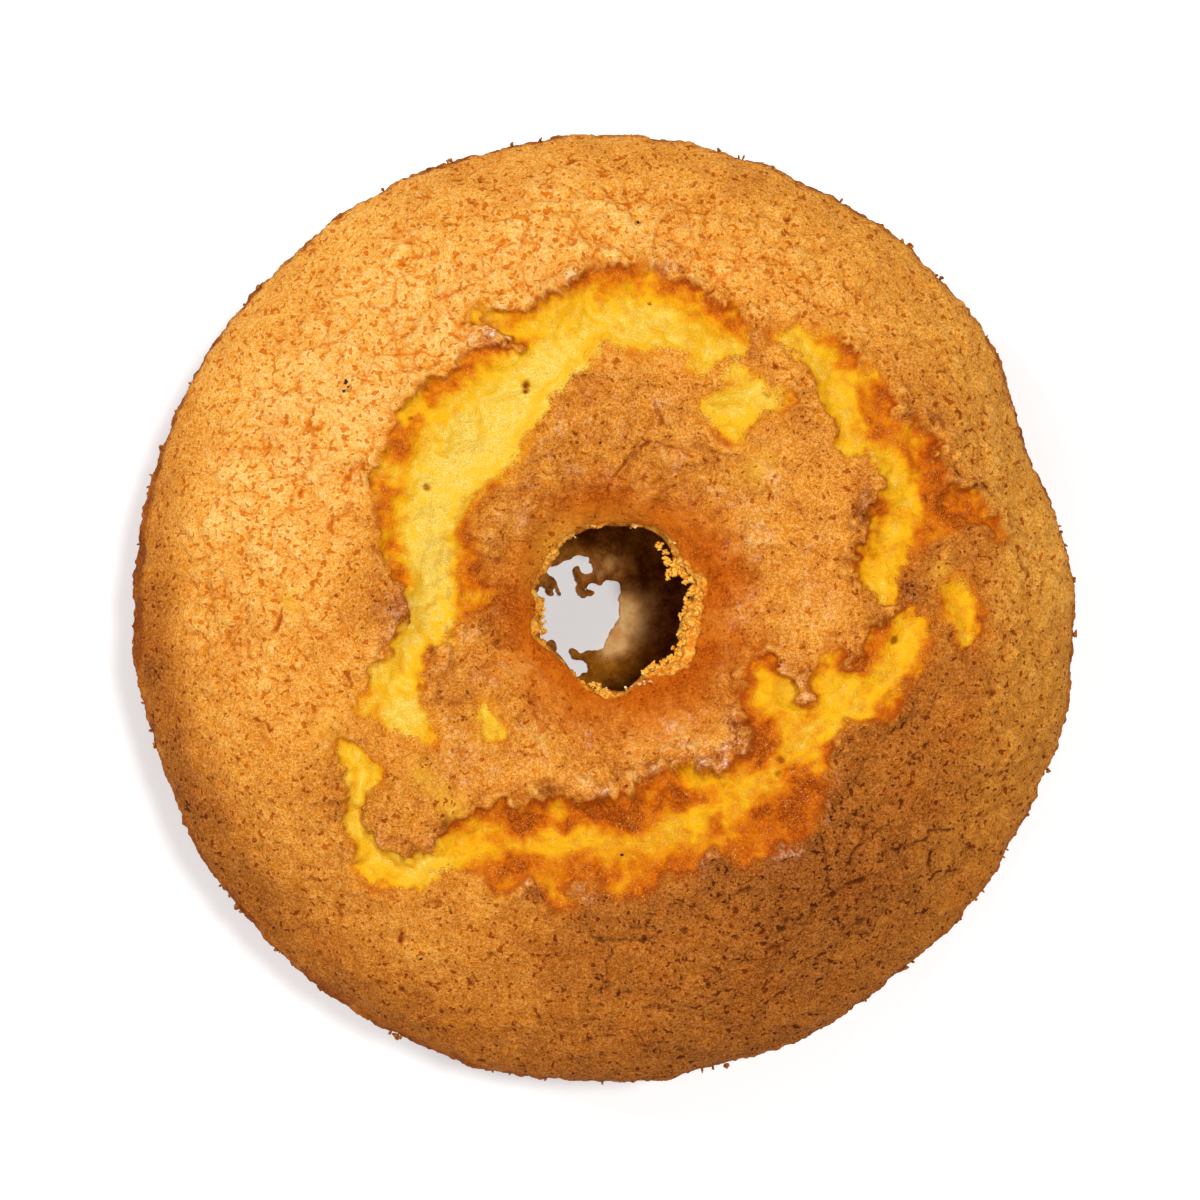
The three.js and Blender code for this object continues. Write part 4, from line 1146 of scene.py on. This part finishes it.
    # painted shade and toasting under the lips: darker orange brown
    col = m.mix(mul(m.attr("under"), m.remap(mid, 0.35, 0.65, 0.30, 0.85)), col, rgb(182, 80, 8, GAIN))
    torn = m.mix(m.remap(add(mul(mid, 0.5), mul(fine, 0.5)), 0.42, 0.58), rgb(236, 130, 18, GAIN), rgb(255, 199, 86, GAIN))
    col = m.mix(m.attr("torn"), col, torn)
    m.link(col, m.bsdf.inputs["Base Color"])

    # gloss: dry crust, slightly waxy lips and crumb
    waxy = m.math("MAXIMUM", m.attr("lip"), mul(crumb_here, 0.6))
    m.link(sub(m.remap(fine, 0.3, 0.7, 0.78, 0.60), mul(waxy, 0.36)), m.bsdf.inputs["Roughness"])
    m.bsdf.inputs["Specular IOR Level"].default_value = 0.04
    # relief too fine for the mesh
    h = add(mul(fine, 0.75), mul(finer, 0.30))
    h = add(h, mul(mul(mid, m.remap(m.attr("edge"), -1.0, 1.0)), 0.9))
    h = sub(h, mul(mul(pit, on_crust), 0.40))
    m.link(m.bump(h, 0.50, 1.0), m.bsdf.inputs["Normal"])
    return m.mat


cake_me.materials.append(cake_material())
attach(cake, "root")
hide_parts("cake")


# ------------------------------------------------ crumbs, flakes, film
def finish_piece(name, me, material):
    ob = bpy.data.objects.new(name, me)
    bpy.context.scene.collection.objects.link(ob)
    me.materials.append(material)
    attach(ob, "root")
    return ob


def lump_mesh(name, spots, sub, rough, seed):
    """Uneven lumps joined to one mesh, each (x, y, z, half length, half width, half height, turn) in mm."""
    bm = bmesh.new()
    bmesh.ops.create_icosphere(bm, subdivisions=sub, radius=1.0)
    unit = np.array([v.co[:] for v in bm.verts])
    tri = np.array([[v.index for v in q.verts] for q in bm.faces])
    bm.free()
    verts, faces = [], []
    for k, (x, y, z, rx, ry, rz, turn) in enumerate(spots):
        mean = (rx * ry * rz) ** (1 / 3)
        w = unit * (rx, ry, rz)
        q = (w + (k * 7.3, k * 3.1, seed * 1.7)).astype(f32)
        w = w * (1 + rough * (1.5 * perlin(q, 1.25 * mean, seed) + 1.0 * perlin(q, 0.6 * mean, seed + 1)))[:, None]
        c, s = math.cos(turn), math.sin(turn)
        w = np.stack([c * w[:, 0] - s * w[:, 1], s * w[:, 0] + c * w[:, 1], w[:, 2]], 1) + (x, y, z)
        verts.append(w)
        faces.append(tri + k * len(unit))
    verts = np.clip(np.concatenate(verts), lo, hi)
    faces = np.concatenate(faces)
    return new_mesh(name, verts, faces.ravel(), np.arange(len(faces)) * 3, np.full(len(faces), 3)), verts


def crumb_material(name, low, mid_, high, bump_mm=0.25):
    m = Nodes(name)
    co = m.coords()
    a, b = m.noise(co, 1.1, 2.0, 0.6), m.noise(co, 0.35, 2.0, 0.6)
    mix_ = m.math("MULTIPLY_ADD", m.math("SUBTRACT", a, b), 0.6, b)
    m.link(m.ramp(mix_, [(0.36, low), (0.50, mid_), (0.64, high)]), m.bsdf.inputs["Base Color"])
    m.link(m.remap(b, 0.3, 0.7, 0.85, 0.60), m.bsdf.inputs["Roughness"])
    m.bsdf.inputs["Specular IOR Level"].default_value = 0.05
    m.link(m.bump(b, bump_mm, 0.8), m.bsdf.inputs["Normal"])
    return m.mat


top_i = np.flatnonzero(is_top)


def seat(px, py):
    """The place on the cake that shows at that pixel."""
    vx, vy = to_mm(px, py)
    d = np.hypot(VX[top_i] - vx, VY[top_i] - vy)
    z = P[top_i[d < d.min() + 0.5], 2].max()
    s = LOOK_UP / (LOOK_UP - (z - WIDEST_Z))
    return (LOOK_X + (float(vx) - LOOK_X) / s + SHIFT[0], LOOK_Y + (float(vy) - LOOK_Y) / s + SHIFT[1], z)


rng = np.random.RandomState(7)
# torn crumb that hangs at the hole's edge: (pixel x, pixel y, radius in pixels, depth below the edge in mm)
HANGING = [
    (676, 566, 8, 2.4), (668, 561, 5, 2.0), (671, 573, 6, 3.2), (688, 579, 7, 1.6), (695, 590, 7, 1.2), (684, 573, 6, 2.0),
    (701, 598, 5, 0.8), (688, 605, 7, 2.2), (683, 614, 6, 2.8), (692, 620, 7, 1.6), (697, 611, 5, 0.8), (687, 631, 7, 2.2),
    (680, 634, 5, 3.2), (684, 641, 6, 2.2), (678, 650, 6, 1.8), (671, 658, 5, 1.4), (664, 663, 5, 1.4), (655, 668, 6, 1.8),
    (647, 673, 5, 1.6), (652, 676, 4, 1.2), (597, 688, 4.5, 0.6), (603, 692, 4, 0.5), (592, 685, 3.5, 0.6),
    (548, 556, 4, 1.4), (552, 549, 4, 1.2), (558, 543, 3.5, 1.0), (545, 563, 3.5, 1.4), (541, 612, 4, 1.8), (541, 622, 4, 2.2),
    (542, 632, 4, 1.8), (540, 603, 3.5, 1.4), (597, 526, 3, 0.4), (633, 527, 2.4, 0.4), (660, 545, 4, 1.6), (666, 552, 4, 1.8)]
WHITISH = [(639, 684, 3, 0.2), (645, 683, 3, 0.2), (632, 686, 3, 0.2), (626, 688, 2.4, 0.3), (650, 682, 2.2, 0.1),
           (593, 525, 2.4, 0.0), (598, 527, 2.4, 0.0), (636, 527, 2, 0.0), (674, 543, 2, 0.0), (575, 537, 1.6, 0.0),
           (589, 525, 1.6, 0.0), (372, 344, 0.9, -0.1), (381, 461, 1.1, -0.1), (606, 690, 1.8, 0.1)]


def clusters(table, many, small, big):
    out = []
    for px, py, r, down in table:
        x, y, z = seat(px, py)
        for _ in range(many if r > 1.5 else 1):
            dx, dy, dz = rng.normal(size=3) * r * PX * (0.42, 0.42, 0.30) * (r > 1.5)
            q = r * PX * rng.uniform(small, big, 3)
            out.append((x + dx, y + dy, z - down + dz, q[0], q[1], q[2] * 0.85, rng.uniform(0, 6.28)))
    return out


yolk = crumb_material("torn_crumb", rgb(232, 134, 20, GAIN), rgb(250, 182, 58, GAIN), rgb(255, 218, 118, GAIN))
me, _ = lump_mesh("hole_crumbs", clusters(HANGING, 8, 0.22, 0.52), 3, 0.60, 11)
finish_piece("hole_crumbs", me, yolk)
me, _ = lump_mesh("pale_crumbs", clusters(WHITISH, 3, 0.30, 0.60), 3, 0.45, 12)
finish_piece("pale_crumbs", me, crumb_material("dry_crumb", rgb(224, 164, 84, GAIN), rgb(250, 214, 140, GAIN),
                                               rgb(255, 242, 206, GAIN)))
specks = []
for px, py, rx, ry, turn in [(346, 382, 2.2, 1.5, 1.2), (348, 387, 1.2, .9, .4), (344, 391, 1.5, 1.2, 0), (622, 855, 1.5, 1.4, 0), (638, 222, 1.1, 1.6, 0), (600, 443, 1.1, 1.0, 0), (421, 959, 1.5, 1.2, .5),
                             (835, 811, .9, .9, 0), (831, 817, 1.0, 1.2, 0)]:
    x, y, z = seat(px, py)
    specks.append((x, y, z + 0.05, rx * PX, ry * PX, 0.30, turn))
me, _ = lump_mesh("dark_specks", specks, 3, 0.5, 13)
finish_piece("dark_specks", me, crumb_material("charred", rgb(18, 8, 5, GAIN), rgb(44, 24, 16, GAIN), rgb(96, 66, 52, GAIN)))

# burrs and flakes on the rim: (direction deg, length mm, how far out mm)
burrs = [(50, 1.5, .5), (51, .8, .6), (137, 1.4, .4), (94, 1.0, .35), (86.5, .8, .3), (109, 1.0, .35), (3.5, 1.0, .3),
         (-3, 1.2, .3), (-12, 1.2, .4), (-20, 1.0, .4), (-116, 1.4, .3), (197, 1.2, .3), (176, 1.0, .3), (184, 1.0, .35),
         (219, 1.4, .35), (226, 1.1, .35), (233, 1.4, .4), (-75, 1.2, .35), (-50, 1.0, .3), (33, 1.0, .3), (160, 1.1, .4)]
burrs += [(a, rng.uniform(.3, .7), rng.uniform(-.1, .15)) for a in rng.uniform(0, 360, 70)]
spots = []
for a, length, out_ in burrs:
    t = math.radians(a)
    r = OUTLINE_R + float(wobble(OUTLINE, np.array([t]))[0]) + out_ - 0.35
    z = WIDEST_Z + rng.uniform(-1.5, 2.0)
    spots.append((r * math.cos(t) + SHIFT[0], r * math.sin(t) + SHIFT[1], z, length * 0.55, rng.uniform(.45, .75),
                  rng.uniform(.4, .9), t + math.pi / 2 + rng.uniform(-.5, .5)))
me, _ = lump_mesh("rim_flakes", spots, 3, 0.6, 14)
finish_piece("rim_flakes", me, crumb_material("rim_crust", rgb(104, 44, 10, GAIN), rgb(160, 84, 22, GAIN), rgb(216, 146, 70, GAIN)))

# browned film that ran under the tin's tube, torn open: the outline of its gap in picture pixels
GAP = [(537, 593), (541, 587), (545, 588), (549, 595), (553, 594), (555, 588), (558, 594), (561, 594), (557, 583),
       (552, 577), (547, 573), (548, 569), (558, 564), (568, 559), (578, 556), (587, 555), (590, 558), (589, 562),
       (592, 565), (593, 570), (590, 573), (585, 573), (581, 570), (578, 567), (574, 570), (575, 577), (577, 583),
       (575, 588), (578, 594), (582, 598), (587, 598), (593, 595), (594, 591), (589, 589), (585, 589), (588, 585),
       (592, 582), (597, 584), (601, 585), (603, 582), (610, 581), (616, 582), (620, 587), (621, 594), (619, 602),
       (620, 612), (618, 622), (612, 630), (607, 638), (605, 646), (598, 648), (593, 652), (587, 651), (580, 652),
       (575, 649), (570, 648), (567, 652), (571, 657), (578, 660), (585, 662), (588, 666), (587, 671), (582, 674),
       (572, 678), (560, 672), (552, 663), (548, 660), (555, 655), (556, 645), (552, 640), (546, 642), (540, 646),
       (530, 646), (522, 636), (518, 620), (520, 604), (528, 596)]
step = 0.42
foot_scale = LOOK_UP / (LOOK_UP - (1.4 - WIDEST_Z))
mm = np.stack(to_mm(*np.array(GAP, float).T), 1)
mm = (mm - (LOOK_X, LOOK_Y)) / foot_scale + (LOOK_X, LOOK_Y)
ax = np.arange(-31.5, 31.5 + step, step)
FX, FY = np.meshgrid(ax + HOLE_X, ax + HOLE_Y)
FX, FY = FX.ravel(), FY.ravel()
p2 = np.stack([FX, FY, 0 * FX], 1).astype(f32)
gap = signed_distance(curve_through(mm, 4), FX, FY) + 0.45 * perlin(p2, 2.4, 111) + 0.35 * perlin(p2, 1.2, 112)
fr = np.hypot(FX - HOLE_X, FY - HOLE_Y)
body = np.maximum(gap, fr - 31.0)                # < 0 on the film
side_n = len(ax)
cell = np.arange(side_n * side_n).reshape(side_n, side_n)
quad = np.stack([cell[:-1, :-1], cell[:-1, 1:], cell[1:, 1:], cell[1:, :-1]], -1).reshape(-1, 4)
quad = quad[body[quad].mean(1) < 0]
used = np.unique(quad)
edge_count = {}
for qd in quad.tolist():
    for i in range(4):
        e = (qd[i], qd[(i + 1) % 4])
        edge_count[e] = 1
rim_edges = np.array([e for e in edge_count if (e[1], e[0]) not in edge_count])
grow = np.zeros(side_n * side_n)
gy, gx2 = np.gradient(body.reshape(side_n, side_n), step)
length = np.maximum(0.3, np.hypot(gx2, gy)).ravel()
on_rim = np.unique(rim_edges)
shift_ = np.clip(body[on_rim] / length[on_rim], -step * 0.8, step * 0.8)
FX[on_rim] -= shift_ * gx2.ravel()[on_rim] / length[on_rim]
FY[on_rim] -= shift_ * gy.ravel()[on_rim] / length[on_rim]
rise = 1.1 + 0.9 * perlin(p2, 7.0, 113) + 0.5 * perlin(p2, 2.6, 114) + 0.3 * perlin(p2, 1.2, 115) + 2.6 * smooth(19, 30, fr) ** 2
rise = np.clip(rise - 0.3 * smooth(-2.5, 0, body), 0.6, None)
thick_ = 0.35 + 0.55 * smooth(0, -3.0, body) + 0.5 * smooth(20, 30, fr)
new_id = np.full(side_n * side_n, -1)
new_id[used] = np.arange(len(used))
n_u = len(used)
top_v = np.stack([FX[used], FY[used], rise[used]], 1)
low_v = np.stack([FX[used], FY[used], np.maximum(0.02, rise[used] - thick_[used])], 1)
q_top, q_low = new_id[quad], new_id[quad][:, ::-1] + n_u
a_, b_ = new_id[rim_edges[:, 0]], new_id[rim_edges[:, 1]]
q_rim = np.stack([b_, a_, a_ + n_u, b_ + n_u], 1)
quads = np.concatenate([q_top, q_low, q_rim])
film_v = np.concatenate([top_v, low_v]) + SHIFT
me = new_mesh("hole_film", film_v, quads.ravel(), np.arange(len(quads)) * 4, np.full(len(quads), 4))
fvx = LOOK_X + (FX[used] - LOOK_X) * foot_scale
fvy = LOOK_Y + (FY[used] - LOOK_Y) * foot_scale
pale_f = patches([(628, 604, 12, 1.3), (618, 642, 11, 1.4), (624, 625, 12, 1.0), (642, 628, 16, .55), (611, 563, 7, .6),
                  (607, 648, 8, 1.), (600, 574, 5, .4), (650, 600, 12, .3)], fvx, fvy)
warm_f = patches([(600, 668, 26, .8), (640, 668, 28, .8), (575, 668, 18, .6), (622, 540, 16, .5), (655, 562, 14, .5),
                  (575, 548, 18, .5), (668, 585, 14, .4), (650, 655, 16, .5), (665, 625, 16, .4), (640, 545, 12, .4)], fvx, fvy)
attribute(me, "pale", np.clip(np.tile(pale_f, 2), 0, 1))
attribute(me, "warm", np.clip(np.tile(warm_f, 2), 0, 1))
fmn = Nodes("browned_film")


def mul_(a, b):
    return fmn.math("MULTIPLY", a, b)


co = fmn.coords()
n_a, n_b = fmn.noise(co, 4.0, 3.0, 0.6), fmn.noise(co, 0.9, 2.0, 0.65)
dark = fmn.mix(fmn.remap(n_a, 0.38, 0.62), (0.160, 0.036, 0.003, 1), (0.460, 0.170, 0.030, 1))
warm_ = fmn.mix(fmn.remap(n_a, 0.36, 0.64), (0.24, 0.070, 0.003, 1), (0.46, 0.165, 0.010, 1))
pale_ = fmn.mix(fmn.remap(n_a, 0.36, 0.64), (0.80, 0.35, 0.09, 1), (0.98, 0.58, 0.22, 1))
c_ = fmn.mix(fmn.attr("warm"), dark, warm_)
c_ = fmn.mix(fmn.attr("pale"), c_, pale_)
c_ = fmn.mix(mul_(fmn.remap(n_b, 0.42, 0.30, 0.0, 0.5), fmn.remap(fmn.attr("pale"), 0.2, 0.7, 1.0, 0.0)), c_,
             (0.07, 0.016, 0.003, 1))
fmn.link(c_, fmn.bsdf.inputs["Base Color"])
fmn.link(fmn.remap(n_b, 0.3, 0.7, 0.75, 0.50), fmn.bsdf.inputs["Roughness"])
fmn.bsdf.inputs["Specular IOR Level"].default_value = 0.02
fmn.link(fmn.bump(n_b, 0.4, 0.9), fmn.bsdf.inputs["Normal"])
finish_piece("hole_film", me, fmn.mat)

# ---------------------------------------------------------- floor, light
floor_me = bpy.data.meshes.new("floor")
S = 3.0
floor_me.from_pydata([(-S, -S, 0), (S, -S, 0), (S, S, 0), (-S, S, 0)], [], [(0, 1, 2, 3)])
floor = bpy.data.objects.new("floor", floor_me)
bpy.context.scene.collection.objects.link(floor)
fm = Nodes("floor_white")
fm.bsdf.inputs["Base Color"].default_value = (0.95, 0.95, 0.95, 1)
fm.bsdf.inputs["Roughness"].default_value = 0.9
fm.bsdf.inputs["Specular IOR Level"].default_value = 0.1
fm.bsdf.inputs["Emission Color"].default_value = (1, 1, 1, 1)
fm.bsdf.inputs["Emission Strength"].default_value = 0.07
floor_me.materials.append(fm.mat)


def area_light(name, size, energy, where, aim, colour=(1, 1, 1)):
    li = bpy.data.lights.new(name, "AREA")
    li.shape = "DISK"
    li.size = size
    li.energy = energy
    li.color = colour
    ob = bpy.data.objects.new(name, li)
    ob.location = where
    ob.rotation_mode = "QUATERNION"
    ob.rotation_quaternion = (Vector(aim) - Vector(where)).to_track_quat("-Z", "Y")
    bpy.context.scene.collection.objects.link(ob)
    return ob


def round_light(name, size, level, bearing, lean, away=1.5):
    """A round lamp that lights the cake by `level`, `lean` degrees off straight above."""
    a, t = math.radians(bearing), math.radians(lean)
    where = (away * math.sin(t) * math.cos(a), away * math.sin(t) * math.sin(a), 0.05 + away * math.cos(t))
    area_light(name, size, level * (math.pi * away) ** 2 / math.cos(t), where, (0, 0, 0.05))


round_light("key", 0.20, 0.54, 25, 13)
round_light("over", 0.20, 0.04, 25, 4)
round_light("side", 0.40, 0.26, 148, 42)
for i, bearing in enumerate((75, 215, 270, 320)):
    round_light("soft_%d" % i, 0.50, 0.05, bearing, 36)
world = bpy.data.worlds.new("studio")
world.use_nodes = True
world.node_tree.nodes["Background"].inputs[0].default_value = (1.0, 1.0, 1.0, 1)
world.node_tree.nodes["Background"].inputs[1].default_value = 0.37
bpy.context.scene.world = world
bpy.context.scene.view_settings.view_transform = "Standard"
bpy.context.scene.view_settings.look = "None"
bpy.context.scene.view_settings.exposure = 0.0

cam = bpy.data.cameras.new("camera")
cam.lens = LENS
cam.sensor_width = SENSOR
cam.clip_start, cam.clip_end = 0.01, 20
cam_ob = bpy.data.objects.new("camera", cam)
cam_ob.location = ((LOOK_X + SHIFT[0]) * 0.001, (LOOK_Y + SHIFT[1]) * 0.001, (LOOK_UP + WIDEST_Z) * 0.001)
cam_ob.rotation_euler = (0, 0, 0)
bpy.context.scene.collection.objects.link(cam_ob)
bpy.context.scene.camera = cam_ob
